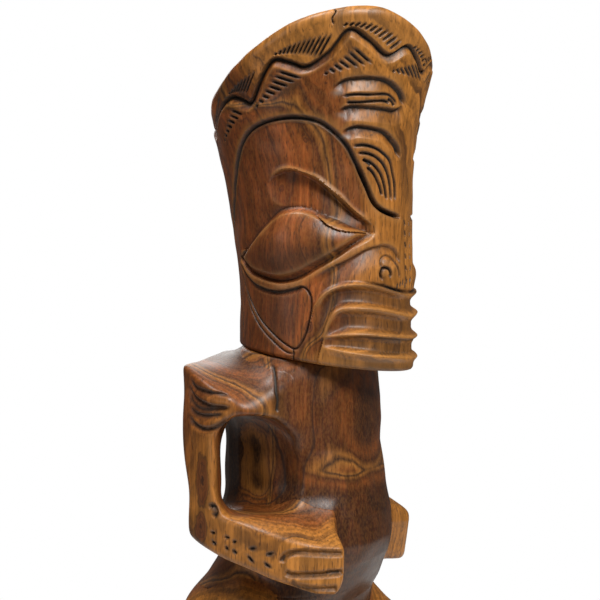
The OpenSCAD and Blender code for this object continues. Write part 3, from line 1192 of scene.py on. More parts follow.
    def carve_nose(self, relief: Relief) -> None:
        """Raises the bridge and wings of the nose, and curls the nostrils.

        Args:
            relief: The carving.
        """
        angle, level = relief.angle, relief.level
        rise = (1 - ease((angle - 3) / 22)) * ease((level - 3.5) / 3) * (1 - ease((level - 20) / 24))
        relief.depth -= self.nose_rise * rise
        wing = np.exp(-((angle - 19) / 8) ** 2 - ((level - 13.5) / 5.5) ** 2)
        relief.depth -= self.wing_rise * wing
        fold = relief.near(self.cheek_fold, 9)
        fade = ease(fold.along / 0.35) * ease((1 - fold.along) / 0.08)
        drop = np.where(fold.below, np.clip(1 - fold.away / 8.5, 0, 1)**1.6,
                        np.clip(1 - fold.away / 1.6, 0, 1)**1.5)
        relief.depth[fold.index] += self.fold_depth * drop * fade
        # The crease of the cheek fold is darkened, partly stain and partly painted shade.
        relief.stain_and_shade[fold.index] = np.maximum(relief.stain_and_shade[fold.index],
                                              0.55 * np.clip(1 - fold.away / 1.5, 0, 1) * fade)
        relief.cut(self.nostril[0], 0.8, 0.9, stain_and_shade=0.6, wall=Wall.BEHIND, slope=1.6)
        relief.cut(self.nostril[1], 0.9, 1.8, stain_and_shade=0.9, ends=0.15)
        for nick in self.bridge_nicks:
            relief.cut(nick, 0.8, 1.2, stain_and_shade=1.0, ends=0.3)
        for a, z in ((8, 10), (11, 9), (5, 8.6), (14, 8), (2, 10.5)):
            relief.cut(Line(((a, z), (a + 0.8, z - 3.2)), straight=True), 0.55, 0.7, stain_and_shade=1.0, ends=0.2)

    def carve_eye(self, relief: Relief) -> None:
        """Sinks the eye panel, undercuts the brow, and rounds the eyeball and its lids.

        Args:
            relief: The carving.
        """
        angle, level = relief.angle, relief.level
        panel = relief.near(self.panel, 90)
        a, z = angle[panel.index], level[panel.index]
        sunk = ease(panel.away / 2.4) * ease((z - 26) / 14) * ease((152 - a) / 14) * ease((a - 28) / 14)
        relief.depth[panel.index] += np.where(panel.below, sunk, 0)
        high, low = relief.near(self.lid_high, 90), relief.near(self.lid_low, 90)
        up = np.full_like(relief.depth, 99.0)
        down = np.full_like(relief.depth, 99.0)
        up[high.index] = np.where(high.below, high.away, -high.away)
        down[low.index] = np.where(low.below, -low.away, low.away)
        span = (angle > 31) & (angle < 134)
        ball = span & (up > 0) & (down > 0)
        rim = np.minimum(up, down)
        dome = 1 - ((angle - 80) / 54) ** 2
        swell = 2 * np.maximum(up, 0) * np.maximum(down, 0) / np.maximum(up + down, 1e-6)
        body = self.lid_depth - 2.6 * ease(rim / 3.4)
        body -= self.ball_swell * ease(swell / 16) * np.clip(dome, 0, 1)
        brow = relief.near(self.brow, 30)
        under_brow = np.full_like(relief.depth, -1.0)
        under_brow[brow.index] = np.where(brow.below, brow.away, -brow.away)
        socket = span & (up < 0) & (level > 24)
        reach = (1 - ease((angle - 84) / 16)) * ease((angle - 31) / 5)
        wall = self.brow_undercut * ease(under_brow / 1.2) * reach * np.exp(-np.maximum(under_brow, 0) / 22)
        crease = self.lid_depth * np.exp(-np.maximum(-up, 0) / 4.2) * ease((134 - angle) / 10)
        faint = crease * (1 - ease((angle - 20) / 40) * 0.2)
        hollow = np.where(under_brow > 0, np.maximum(wall, crease), faint)
        below = span & (down < 0) & (level < 32)
        lid = self.lid_depth * np.clip(1 + down / 1.5, 0, 1)
        lid -= 0.7 * ease((-down - 0.8) / 1.6) * (1 - ease((-down - 4.2) / 2.5))
        relief.depth += np.where(ball, body - 0.7, 0) + np.where(socket, hollow, 0)
        relief.depth += np.where(below, lid * ease((angle - 31) / 8), 0)
        lift = np.clip(1 - brow.away / 2.6, 0, 1) ** 1.5
        lift *= ease(brow.along / 0.25) * ease((1 - brow.along) / 0.15)
        relief.depth[brow.index] -= np.where(brow.below, 0, 0.8 * lift)
        edge = relief.near(self.ball_edge, 7)
        run = ease(edge.along / 0.25) * ease((1 - edge.along) / 0.12)
        facet = np.where(edge.below, 0.9 * np.clip(1 - edge.away / 6, 0, 1)**1.5,
                         -0.5 * np.clip(1 - edge.away / 2, 0, 1))
        relief.depth[edge.index] += facet * run * (rim[edge.index] > 0)
        # Painted shade: the crease round the eyeball and the lower half of the eyeball are darkened; a patch
        # on the cheek is also made darker.
        crevice = np.clip(1 - np.abs(rim) / 1.2, 0, 1) * span * ease((angle - 31) / 4)
        relief.stain_and_shade = np.maximum(relief.stain_and_shade, 0.62 * crevice)
        shade = np.exp(-((angle - 86) / 26) ** 2 - ((level - 19) / 6.5) ** 2) * (rim > 0.5)
        cheek = np.exp(-((angle - 98) / 17) ** 2 - ((level + 8) / 13) ** 2)
        relief.stain_and_shade = strongest(relief.stain_and_shade, 0.6 * shade, 0.42 * cheek)
        corner = np.exp(-(((angle - 36) / 5) ** 2) - ((level - 32.5) / 2.2) ** 2)
        relief.depth += 0.8 * corner
        relief.cut(self.lid_fold, 1.0, 1.3, stain_and_shade=0.85, wall=Wall.BEHIND, slope=2.2)
        relief.cut(self.shield, 0.75, 1.1, stain_and_shade=0.75, ends=0.03)
        relief.cut(self.shield_rim, 0.8, 0.9, stain_and_shade=0.6, ends=0.1)
        relief.cut(self.panel, 1.35, 2.2, stain_and_shade=0.95, wall=Wall.AHEAD, slope=1.7, ends=0.02)
        relief.cut(self.panel_back, 0.8, 1.0, stain_and_shade=0.7, ends=0.1)
        bridge = Line(tuple(p for p in self.panel.points if p[0] < 45))
        relief.cut(bridge, 1.5, 2.4, stain_and_shade=1.0, ends=0.12)

    def carve_forehead(self, relief: Relief) -> None:
        """Cuts the leaves, their veins and the nested quarter lines over the bridge of the nose.

        Args:
            relief: The carving.
        """
        for leaf, slope in zip(self.brow_leaves, (6.0, 6.5, 5.0)):
            relief.cut(leaf, 1.15, 2.6, stain_and_shade=0.9, wall=Wall.BEHIND, slope=slope, ends=0.12, bend=1.1)
        for vein in self.leaf_veins:
            relief.cut(vein, 0.85, 1.5, stain_and_shade=1.0)
        for line in self.quarter_lines:
            relief.cut(line, 0.95, 1.5, stain_and_shade=1.0)
        for a in (1.5, 5, 8.5):
            relief.cut(Line(((a, 64), (a + 0.4, 46)), straight=True), 0.5, 0.25, stain_and_shade=0.25, ends=0.3)
        for ladder in self.ladders:
            for stroke in ladder.strokes():
                relief.cut(stroke, 0.8, 1.35, stain_and_shade=1.0, ends=0.3)
        relief.cut(Line(((87, -22), (86.4, -25), (87.3, -28), (87, -30.5))), 0.35, 1.2, stain_and_shade=1.0, ends=0.15)

    def carve_wave(self, relief: Relief) -> None:
        """Slopes the wood down into the wavy groove that parts the head from its crown."""
        n = relief.near(Line(self.form.wave), 5.0)
        slope = np.clip(1 - n.away / 3.6, 0, 1)
        relief.depth[n.index] = np.maximum(relief.depth[n.index], 0) + self.form.groove * slope**1.15
        lip = np.exp(-((n.away - 4.2) / 0.9) ** 2)
        relief.depth[n.index] -= 0.15 * lip
        # Painted shade: the head's side of the wavy groove is darkened under the crown's overhang.
        relief.stain_and_shade[n.index] = np.maximum(relief.stain_and_shade[n.index], 0.95 * np.clip(1.5 - n.away, 0, 1))


@dataclass
class Crown:
    """The band above the wavy groove, with its slanting top and soft rim."""

    form: HeadForm = field(default_factory=HeadForm)
    columns: int = 860
    side_rows: int = 76
    top_rows: int = 22
    under_rows: int = 4
    rim_round: float = 5.5
    top_middle: float = 110.0
    ladders: tuple[Ladder, ...] = (
        Ladder(((84, 110.5), (83, 112)), ((64.5, 107.5), (57.5, 120)), 12, bulge=1.0),
        Ladder(((115, 96.3), (114, 97.3)), ((103.5, 94.5), (94.5, 105.5)), 8, bulge=0.6),
        Ladder(((53, 122.5), (51, 124)), ((30, 114.2), (22.5, 119.8)), 11, bulge=2.4),
        Ladder(((14, 117.2), (11, 118.2)), ((2.5, 111), (-3.5, 113.5)), 6, bulge=0.6),
        Ladder(((143, 84), (142.5, 85.2)), ((131, 91), (124, 97)), 7, bulge=-1.5))
    check: Line = Line(((57.5, 131), (56.5, 128.5), (58, 125.5), (57, 122.5)))

    def build(self, shop: Workshop) -> None:
        """Carves, finishes and hands over the crown.

        Args:
            shop: The workshop that finishes it.
        """
        form = self.form
        tube = Tube("carved_crown", self.columns, self.under_rows, self.side_rows, self.top_rows)
        angle, top = tube.angle, tube.top
        low, high = form.wave_level(angle), form.rim_level(angle)
        level = low + (high - low) * tube.part
        relief = Relief(np.abs(angle), level + form.drop(angle), form.radius)
        for ladder in self.ladders:
            for stroke in ladder.strokes():
                relief.cut(stroke, 0.8, 1.4, stain_and_shade=1.0, ends=0.3)
        relief.cut(self.check, 0.4, 1.6, stain_and_shade=1.0, ends=0.2)
        groove = relief.near(Line(form.wave), 4.0)
        sunk = form.groove * np.clip(1 - groove.away / 1.1, 0, 1) ** 0.8
        relief.depth[groove.index] = np.maximum(relief.depth[groove.index], sunk)
        # Painted shade: the crown's side of the wavy groove is darkened under its overhang.
        dark = np.clip(1.25 - groove.away / 1.2, 0, 1)
        relief.stain_and_shade[groove.index] = np.maximum(relief.stain_and_shade[groove.index], dark)
        to_rim = np.clip((high - level) / self.rim_round, 0, 1)
        inset = self.rim_round * 0.8 * (1 - np.sqrt(1 - (1 - to_rim) ** 2))
        radius = form.radius(level) - 0.3 - relief.depth - inset
        points = form.points(angle, level, radius)
        tube.draw_in(points, level, tube.under)
        keep = tube.out[top]
        centre = form.shift(np.full(1, self.top_middle))
        plane = self.slant(points[tube.rim])
        away = points[top, 2] - self.on_slant(plane, points[top])
        points[top, 0] *= keep
        points[top, 1] = centre + (points[top, 1] - centre) * keep
        points[top, 2] = self.on_slant(plane, points[top]) + away * keep**5 + 1.2 * np.sin(keep * math.pi)
        lift = Unevenness(0.2, 15, 8).at(*points.T) + Unevenness(0.45, 50, 9).at(*points.T)
        around = np.linalg.norm(points[:, :2], axis=1)[:, None].clip(1)
        points[:, :2] += points[:, :2] / around * lift[:, None]
        mark(tube.piece, "sap", 0.2 + 0.8 * ease((150 - np.abs(angle)) / 40))
        # Painted highlight: the upper front of the crown, lit from the front and above, is made lighter with
        # the rubbed colour.
        mark(tube.piece, "worn", 0.55 * ease((100 - np.abs(angle)) / 60) * ease((level - 100) / 8))
        tube.hand_over(shop, points, relief.stain_and_shade, "crown")

    def slant(self, rim: Array) -> Array:
        """Returns the slanting plane that best fits the points of the rim."""
        return np.linalg.lstsq(np.column_stack([rim[:, :2], np.ones(len(rim))]), rim[:, 2], rcond=None)[0]

    def on_slant(self, plane: Array, points: Array) -> Array:
        """Returns the height of a slanting plane above or below points."""
        return points[:, 0] * plane[0] + points[:, 1] * plane[1] + plane[2]


# ---------------------------------------------------------------------------
# Body, arms, hips and legs
# ---------------------------------------------------------------------------
class Side(Enum):
    """A side of the figure, as the sign of x."""

    RIGHT = -1
    LEFT = 1


@dataclass
class FlatShape:
    """A closed outline in a flat plane, read as a distance that is below zero inside.

    Attributes:
        outline: Corners of the outline in millimetres, in order.
        step: Distance between the places where the distance is worked out.
    """

    outline: tuple[Point, ...]
    step: float = 1.0
    low: Array = field(init=False)
    table: Array = field(init=False)

    def __post_init__(self) -> None:
        """Works the distances out once, on an even grid."""
        corners = np.array(self.outline, dtype=float)
        self.low = corners.min(axis=0) - 20
        size = np.ceil((corners.max(axis=0) + 20 - self.low) / self.step).astype(int) + 1
        u, v = np.meshgrid(*(self.low[k] + np.arange(size[k]) * self.step for k in (0, 1)),
                           indexing="ij")
        best = np.full(u.shape, 1e9)
        inside = np.zeros(u.shape, dtype=bool)
        for a, b in zip(corners, np.roll(corners, -1, axis=0)):
            d = b - a
            t = np.clip(((u - a[0]) * d[0] + (v - a[1]) * d[1]) / max(d @ d, 1e-9), 0, 1)
            best = np.minimum(best, np.hypot(u - a[0] - t * d[0], v - a[1] - t * d[1]))
            crosses = (a[1] > v) != (b[1] > v)
            with np.errstate(divide="ignore", invalid="ignore"):
                inside ^= crosses & (u < d[0] * (v - a[1]) / (d[1] if d[1] else 1e-9) + a[0])
        self.table = np.where(inside, -best, best)

    def at(self, u: Array, v: Array) -> Array:
        """Reads the distance at points of the plane.

        Args:
            u: First coordinates.
            v: Second coordinates.

        Returns:
            The distances, below zero inside the outline.
        """
        size = np.array(self.table.shape)
        p = np.clip((u - self.low[0]) / self.step, 0, size[0] - 1.001)
        q = np.clip((v - self.low[1]) / self.step, 0, size[1] - 1.001)
        i, j = p.astype(int), q.astype(int)
        s, t = p - i, q - j
        table = self.table
        return ((1 - s) * (1 - t) * table[i, j] + s * (1 - t) * table[i + 1, j]
                + (1 - s) * t * table[i, j + 1] + s * t * table[i + 1, j + 1])


@dataclass(frozen=True)
class Lump:
    """A tapering rounded limb through a row of points, each with its radius."""

    points: tuple[tuple[float, float, float, float], ...]
    blend: float = 2.0

    def field(self, x: Array, y: Array, z: Array) -> Array:
        """Finds the distance to the limb's surface.

        Args:
            x: Distances from the middle.
            y: Distances behind the plinth's centre.
            z: Levels above the ground.

        Returns:
            The distances, below zero inside the limb.
        """
        total = None
        for a, b in zip(self.points, self.points[1:]):
            d = [b[k] - a[k] for k in range(3)]
            dot = (x - a[0]) * d[0] + (y - a[1]) * d[1] + (z - a[2]) * d[2]
            t = np.clip(dot / sum(v * v for v in d), 0, 1)
            gap = np.sqrt((x - a[0] - t * d[0])**2 + (y - a[1] - t * d[1])**2 + (z - a[2] - t * d[2])**2)
            part = gap - (a[3] + (b[3] - a[3]) * t)
            total = part if total is None else smooth_low(total, part, self.blend)
        return total


@dataclass
class BodyForm:
    """The whole figure below the chin as one field of distances, and which part owns each place.

    Attributes:
        trunk: Level, half width, front distance and back distance of the trunk and hips.
        arm_top: Upper edge of the forearm by angle on the log.
        arm_low: Lower edge of the forearm by angle on the log.
        hand_end: Angle on the log where each hand ends.
    """

    trunk: tuple[tuple[float, float, float, float], ...] = (
        (86, 26, 6, 40), (92, 42, 14, 50), (102, 51, 17, 57), (112, 52.5, 17, 59.5), (120, 52.5, 18.5, 59),
        (127, 50, 23, 55.5), (134, 47, 26, 52), (141, 45, 29, 47.5), (150, 43.5, 31, 45.5),
        (163, 41.5, 31, 43.5), (174, 40, 29, 43), (195, 39, 26, 43), (206, 41, 26, 42.5), (217, 43, 25, 42),
        (228, 43, 23.6, 41), (238, 41, 22.4, 36), (246, 38, 21, 31))
    squareness: float = 2.5
    arm_top: tuple[Point, ...] = (
        (-32, 196), (-14, 192), (-11, 178), (-7, 168.5), (2, 164), (12, 161), (22, 157.5), (34, 154.5),
        (50, 153))
    arm_low: tuple[Point, ...] = (
        (-32, 157), (-22, 152.5), (-10, 148), (2, 144), (12, 140.5), (22, 137), (32, 133), (40, 132),
        (50, 138))
    hand_end: dict = field(default_factory=lambda: {Side.RIGHT: 44.0, Side.LEFT: 39.5})
    loop: FlatShape = field(default_factory=lambda: FlatShape((
        (-84, 16), (-65, 23.6), (-58, 25.6), (-52.5, 27.2), (-50.8, 31), (-50, 38), (-49.5, 46), (-50, 62),
        (-8, 62), (-9, 45.5), (-18, 43.5), (-26, 40), (-32, 34.5), (-34.6, 28), (-34.6, 22), (-34.4, 12),
        (-35.2, 2), (-37, -6), (-42, -14), (-60, -26), (-84, -30))))
    thigh: Lump = Lump(((-30, 32, 108, 27), (-33, 18, 111, 26.5), (-37, -3, 93, 22.5), (-40, -20, 85, 19)), 4)
    shin: Lump = Lump(((-40, -19, 87, 19), (-40, -6, 68, 20), (-38, 8, 52, 18), (-37, 10, 40, 14)), 4)
    foot: Lump = Lump(((-37, 10, 38, 14), (-36, -18, 37, 12.5), (-36, -33, 34, 9)), 3)
    toes: tuple[Lump, ...] = tuple(
        Lump(((-46 + 7 * i, -30, 33, 5), (-47 + 7.5 * i, -44.5 - i, 32, 4))) for i in range(4))

    def trunk_field(self, x: Array, y: Array, z: Array) -> Array:
        """Finds the distance to the trunk, from the underside of the hips to the chin.

        Args:
            x: Distances from the middle, below zero on either side.
            y: Distances behind the plinth's centre.
            z: Levels above the ground.

        Returns:
            The distances, below zero inside.
        """
        levels = [row[0] for row in self.trunk]
        wide, front, back = (np.interp(z, levels, [row[k] for row in self.trunk]) for k in (1, 2, 3))
        middle, deep = (back - front) / 2, (back + front) / 2
        e = self.squareness
        reach = (np.abs(x) / wide)**e + (np.abs(y - middle) / deep)**e
        side = (np.maximum(reach, 1e-9)**(1 / e) - 1) * (wide + deep) / 2
        belly = np.exp(-((z - 149) / 13)**2 - (x / 26)**2) * (y < middle)
        side = side - 1.5 * belly
        chin = z - (HEAD_LEVEL - 34 + 0.15 * (y + 45)) + 0.2
        return smooth_high(smooth_high(side, 88 - z, 8), chin, 1.0)

    def arm_field(self, x: Array, y: Array, z: Array, side: Side) -> Array:
        """Finds the distance to one arm, with its shoulder and hand.

        Args:
            x: Distances from the middle, below zero on either side.
            y: Distances behind the plinth's centre.
            z: Levels above the ground.
            side: The side of the figure.

        Returns:
            The distances, below zero inside.
        """
        left = side is Side.LEFT
        around = np.hypot(x, y - LOG_BACK)
        angle = np.degrees(np.arctan2(LOG_BACK - y, -x))
        skin = around - LOG_RADIUS
        share = np.clip((45 - y) / 39, -0.3, 1.5)
        ridge = (1 - share) * (235.0 + 0.15 * (x + 53)) + share * (215.5 + 0.66 * (x + 66))
        front = -0.464 * (x + 66) - 0.886 * (y - 9.5)
        shoulder = smooth_high(smooth_high(skin, z - ridge, 2.4), 176 - z, 6)
        shoulder = smooth_high(shoulder, front, 7)
        top = np.interp(angle, *zip(*self.arm_top)) + 0.62 * -skin
        low = np.interp(angle, *zip(*self.arm_low)) + 0.15 * -skin - (6.0 if left else 0.0)
        tuck = 0.22 * np.maximum(150 - z, 0) if left else 0.14 * np.maximum(140 - z, 0)
        end = (angle - self.hand_end[side] + tuck) * 0.9
        lower = smooth_high(smooth_high(skin, z - top, 2.2), low - z, 4)
        lower = smooth_high(lower, end, 7.5 if left else 3.0)
        arm = np.minimum(shoulder, lower)
        arm = smooth_high(arm, y - 47.3 + 0.03 * (x + 57) + 5 * ease((205 - z) / 40), 4)
        arm = smooth_high(arm, x + 18, 4)
        return np.maximum(arm, 14 - around)

    def loop_field(self, x: Array, y: Array, z: Array) -> Array:
        """Returns the distance to the hollow between an arm and the flank."""
        flat = self.loop.at(x, y)
        roof = z - (213.5 + 0.25 * (y - 10))
        base = (166.5 - 0.10 * (y - 10)) - z
        return smooth_high(smooth_high(flat, roof, 23), base, 13)

    def leg_field(self, x: Array, y: Array, z: Array) -> Array:
        """Returns the distance to one leg, with its foot and toes."""
        leg = smooth_low(self.thigh.field(x, y, z), self.shin.field(x, y, z), 3)
        leg = smooth_low(leg, self.foot.field(x, y, z), 5)
        for toe in self.toes:
            leg = smooth_low(leg, toe.field(x, y, z), 1.2)
        return np.maximum(leg, 28.0 - z)

    def whole(self, x: Array, y: Array, z: Array, side: Side) -> dict[str, Array]:
        """Returns the field of the whole body and of each of its parts.

        Args:
            x: Distances from the middle, below zero on either side.
            y: Distances behind the plinth's centre.
            z: Levels above the ground.
            side: The side of the figure.

        Returns:
            Fields named all, arm, trunk and leg.
        """
        trunk = self.trunk_field(x, y, z)
        arm = self.arm_field(x, y, z, side)
        leg = self.leg_field(x, y, z)
        void = self.loop_field(x, y, z)
        body = smooth_high(smooth_low(trunk, arm, 7), -void, 3.0)
        arm = smooth_high(arm, -void, 3.0)
        uneven = Unevenness(0.22, 17, 21).at(x, y, z)
        return {"all": smooth_low(body, leg, 3.5) + uneven, "arm": arm, "trunk": trunk, "leg": leg}


@dataclass(frozen=True)
class Share:
    """One separate piece of the body.

    Attributes:
        name: Name of the piece.
        node: The solid that it stands for.
        low: Lowest corner of the block of space that holds it.
        high: Highest corner of that block.
        step: Size of the cells that the surface is built on.
        sides: The sides of the figure that it covers.
    """

    name: str
    node: str
    low: tuple[float, float, float]
    high: tuple[float, float, float]
    step: float
    sides: tuple[Side, ...]


@dataclass
class Body:
    """The torso, arms, hips and legs, each a closed piece cut from the same form."""

    form: BodyForm = field(default_factory=BodyForm)
    overlap: float = 0.8
    waist: float = 128.0
    shares: tuple[Share, ...] = (
        Share("carved_torso", "torso", (-48, -38, 124), (48, 56, 250), 0.8, (Side.RIGHT, Side.LEFT)),
        Share("carved_hips", "hips", (-60, -32, 80), (60, 68, 132), 0.95, (Side.RIGHT, Side.LEFT)),
        Share("carved_right_arm", "right_arm", (-70, -56, 126), (-14, 52, 252), 0.6, (Side.RIGHT,)),
        Share("carved_left_arm", "left_arm", (14, -56, 126), (70, 52, 252), 0.6, (Side.LEFT,)),
        Share("carved_right_leg", "right_leg", (-66, -56, 24), (-8, 60, 136), 0.85, (Side.RIGHT,)),
        Share("carved_left_leg", "left_leg", (8, -56, 24), (66, 60, 136), 0.85, (Side.LEFT,)))
    shoulder_marks: tuple[Line, ...] = (
        Line(((-25, -35), (-23.5, -38), (-20.5, -40.5), (-13, -42.2), (-6, -43), (-3, -43.4))),
        Line(((-26, -38), (-24, -42.5), (-20.5, -45.6), (-14, -48), (-8, -48.8), (-2, -48.8))),
        Line(((-26.5, -42), (-23, -47.5), (-18, -50), (-12, -50), (-6, -49))),
        Line(((-26, -48.5), (-22, -51.8), (-17, -53), (-12, -52.7), (-5, -51.7))),
        Line(((-26, -53), (-22, -57), (-17, -59), (-12, -58.6), (-7, -56), (-4, -52.5))))
    sleeve_nicks: tuple[Line, ...] = tuple(
        Line(pair, straight=True) for pair in (
            ((-13, -106), (-9.5, -106.5)), ((-12.5, -109.5), (-9, -112.3)), ((-6, -107.3), (-2.6, -107.8)),
            ((-5.5, -111), (-3.4, -114)), ((0.5, -108.8), (-2.4, -109.6)), ((-2.2, -112.5), (0.6, -115)),
            ((5, -111.9), (9.2, -110.9)), ((4, -114), (8.2, -118.8)), ((12, -114.2), (16.4, -112.6)),
            ((11, -116.7), (15.4, -120.3))))
    split: Lump = Lump((
        (-12.4, 0, 234, 0), (-11.5, 0, 229, 0), (-11.0, 0, 223.5, 0), (-10.1, 0, 219, 0),
        (-10.5, 0, 214.5, 0)), 0.1)
    split_way: Point = (0.438, -0.899)
    finger_marks: tuple[Line, ...] = (
        Line(((19, -117.5), (19.6, -115), (22, -113.2), (26, -112.4), (34, -113), (43.6, -113.6))),
        Line(((20, -121), (23, -122.6), (32, -122.6), (43.6, -121.9))),
        Line(((22, -125.5), (26, -128), (33, -129), (41, -129))))

    def build(self, shop: Workshop) -> None:
        """Builds, finishes and hands over every piece of the body."""
        for share in self.shares:
            piece = self.piece(share)
            self.dress(piece, share)
            thin(piece)
            round_off(piece, 50)
            shop.hand_over(piece, "body_wood", share.node)

    def owned(self, share: Share, x: Array, y: Array, z: Array, side: Side) -> Array:
        """Returns the field of one piece, a little larger than its territory so that no gap shows.

        Args:
            share: The piece.
            x: Distances from the middle, below zero on either side.
            y: Distances behind the plinth's centre.
            z: Levels above the ground.
            side: The side of the figure.

        Returns:
            The field, below zero inside the piece.
        """
        f = self.form.whole(x, y, z, side)
        arm = (f["arm"] - np.minimum(f["trunk"], f["leg"])) / 2
        leg = (f["leg"] - f["trunk"]) / 2
        upper = self.waist - z
        if "arm" in share.node:
            return np.maximum(f["all"], arm - self.overlap)
        if "leg" in share.node:
            return np.maximum(f["all"] + 0.09, np.maximum(leg, -arm) - self.overlap)
        if share.node == "torso":
            return np.maximum(f["all"] + 0.05, np.maximum(upper, -arm) - self.overlap)
        return np.maximum(f["all"] + 0.13, np.maximum(np.maximum(-upper, -leg), -arm) - self.overlap)

    def piece(self, share: Share) -> bpy.types.Object:
        """Builds the closed surface of one piece."""
        axes = [np.arange(a, b + share.step, share.step) for a, b in zip(share.low, share.high)]
        x, y, z = np.meshgrid(*axes, indexing="ij")
        value = np.empty(x.shape)
        for side in share.sides:
            here = (axes[0] <= 0) if side is Side.RIGHT else (axes[0] > 0)
            value[here] = self.owned(share, -np.abs(x[here]), y[here], z[here], side)
        return skin_of(share.name, value, np.array(share.low, dtype=float), share.step)

    def dress(self, piece: bpy.types.Object, share: Share) -> None:
        """Carves the arms' marks, notes where hands and oil have changed the wood, and paints shade into
        enclosed places, the hollow behind each arm and the split.

        Args:
            piece: The piece.
            share: Which piece it is.
        """
        points = places(piece)
        normals = np.empty(len(points) * 3)
        piece.data.vertices.foreach_get("normal", normals)
        normals = normals.reshape(-1, 3)
        stain_and_shade = np.zeros(len(points))
        if "arm" in share.node:
            stain_and_shade = self.carve_arm(points, share.sides[0])
        hollow, edge = self.sense(points, normals, share)
        gap = self.split_gap(*points.T)
        points = points - normals * (0.7 * ease(1.3 - gap / 0.8))[:, None]
        place(piece, points)
        x, y, z = points.T
        # Painted shade: the hollow between arm and flank, enclosed places and the drying split are darkened.
        deep = 0.5 * ease((4.0 - self.form.loop_field(-np.abs(x), y, z)) / 4.0) * ease((y - 20) / 16)
        sunken = 0.75 * ease((hollow - 0.26) / 0.55)
        mark(piece, "stain_and_shade", strongest(stain_and_shade, ease(1.4 - gap / 0.75), sunken, deep))
        mark(piece, "worn", edge * (0.6 if "arm" in share.node else 0.9))
        if share.node in ("torso", "hips"):
            belly = ease((188 - z) / 20)
            chest = np.exp(-((z - 208) / 17)**2 - ((x + 2) / 24)**2)
            mark(piece, "heart", np.maximum(belly, chest) * ease((14 - y) / 18))
        if share.node == "torso":
            mark(piece, "sap", ease((np.abs(x) - 26) / 8) * ease((y - 2) / 10) * ease((z - 150) / 20))
        if "leg" in share.node:
            mark(piece, "sap", 0.4 * ease((z - 104) / 8))

    def split_gap(self, x: Array, y: Array, z: Array) -> Array:
        """Returns the distance to the drying split, which runs straight into the right shoulder."""
        across = self.split_way[0] * x + self.split_way[1] * (y - LOG_BACK)
        return np.where((x < -34) & (y < LOG_BACK), self.split.field(across, np.zeros_like(x), z), 9.0)

    def sense(self, points: Array, normals: Array, share: Share) -> tuple[Array, Array]:
        """Finds how enclosed and how exposed each point is.

        Args:
            points: The points.
            normals: Their outward directions.
            share: The piece that they belong to.

        Returns:
            How enclosed each point is, and how exposed, both 0 to 1.
        """
        hollow, edge = np.zeros(len(points)), np.zeros(len(points))
        for side in share.sides:
            here = (points[:, 0] <= 0) if side is Side.RIGHT else (points[:, 0] > 0)
            p, n = points[here], normals[here]

            def read(reach: float) -> Array:
                """Reads the field at a distance outside the points."""
                q = p + n * reach
                return self.form.whole(-np.abs(q[:, 0]), q[:, 1], q[:, 2], side)["all"]

            steep = np.clip((read(0.8) - read(-0.8)) / 1.6, 0.3, 2)
            hollow[here] = np.clip(1 - read(8.0) / steep / 8.0, 0, 1)
            edge[here] = ease((read(-3.0) / steep + 3.0 - 0.35) / 1.6)
        return hollow, edge

    def carve_arm(self, points: Array, side: Side) -> Array:
        """Sinks the carved marks into the outside of an arm.

        Args:
            points: The arm's points, which are moved in place.
            side: Which arm it is.

        Returns:
            How dark each point has become.
        """
        x = -np.abs(points[:, 0])
        y = points[:, 1]
        around = np.hypot(x, y - LOG_BACK)
        angle = np.degrees(np.arctan2(LOG_BACK - y, -x))
        relief = Relief(angle, points[:, 2] - HEAD_LEVEL, lambda level: np.full_like(level, LOG_RADIUS))
        for line, depth in zip(self.shoulder_marks, (1.5, 1.9, 1.2, 1.4, 1.6)):
            relief.cut(line, 1.3, depth, stain_and_shade=0.75, wall=Wall.AHEAD, slope=3.2, ends=0.18)
        for nick in self.sleeve_nicks:
            relief.cut(nick, 1.0, 1.5, stain_and_shade=1.0, ends=0.45)
        turn = 0 if side is Side.RIGHT else -12
        for line in self.finger_marks:
            moved = Line(tuple((a + turn, z) for a, z in line.points))
            relief.cut(moved, 1.9, 1.9, stain_and_shade=0.5, ends=0.05, bend=0.9)
        if side is Side.RIGHT:
            relief.cut(Line(((36, -121.8), (42, -121.8)), straight=True), 1.4, 0.8, stain_and_shade=0.9)
            relief.cut(Line(((-13, -95), (-11, -94), (-9.5, -97), (-11, -99))), 1.6, 1.8, stain_and_shade=0.9, ends=0.1)
        on_skin = ease((around - LOG_RADIUS + 3.5) / 2.5)
        depth = relief.depth * on_skin
        shrink = 1 - depth / np.maximum(around, 1)
        points[:, 0] *= shrink
        points[:, 1] = LOG_BACK + (points[:, 1] - LOG_BACK) * shrink
        return relief.stain_and_shade * on_skin


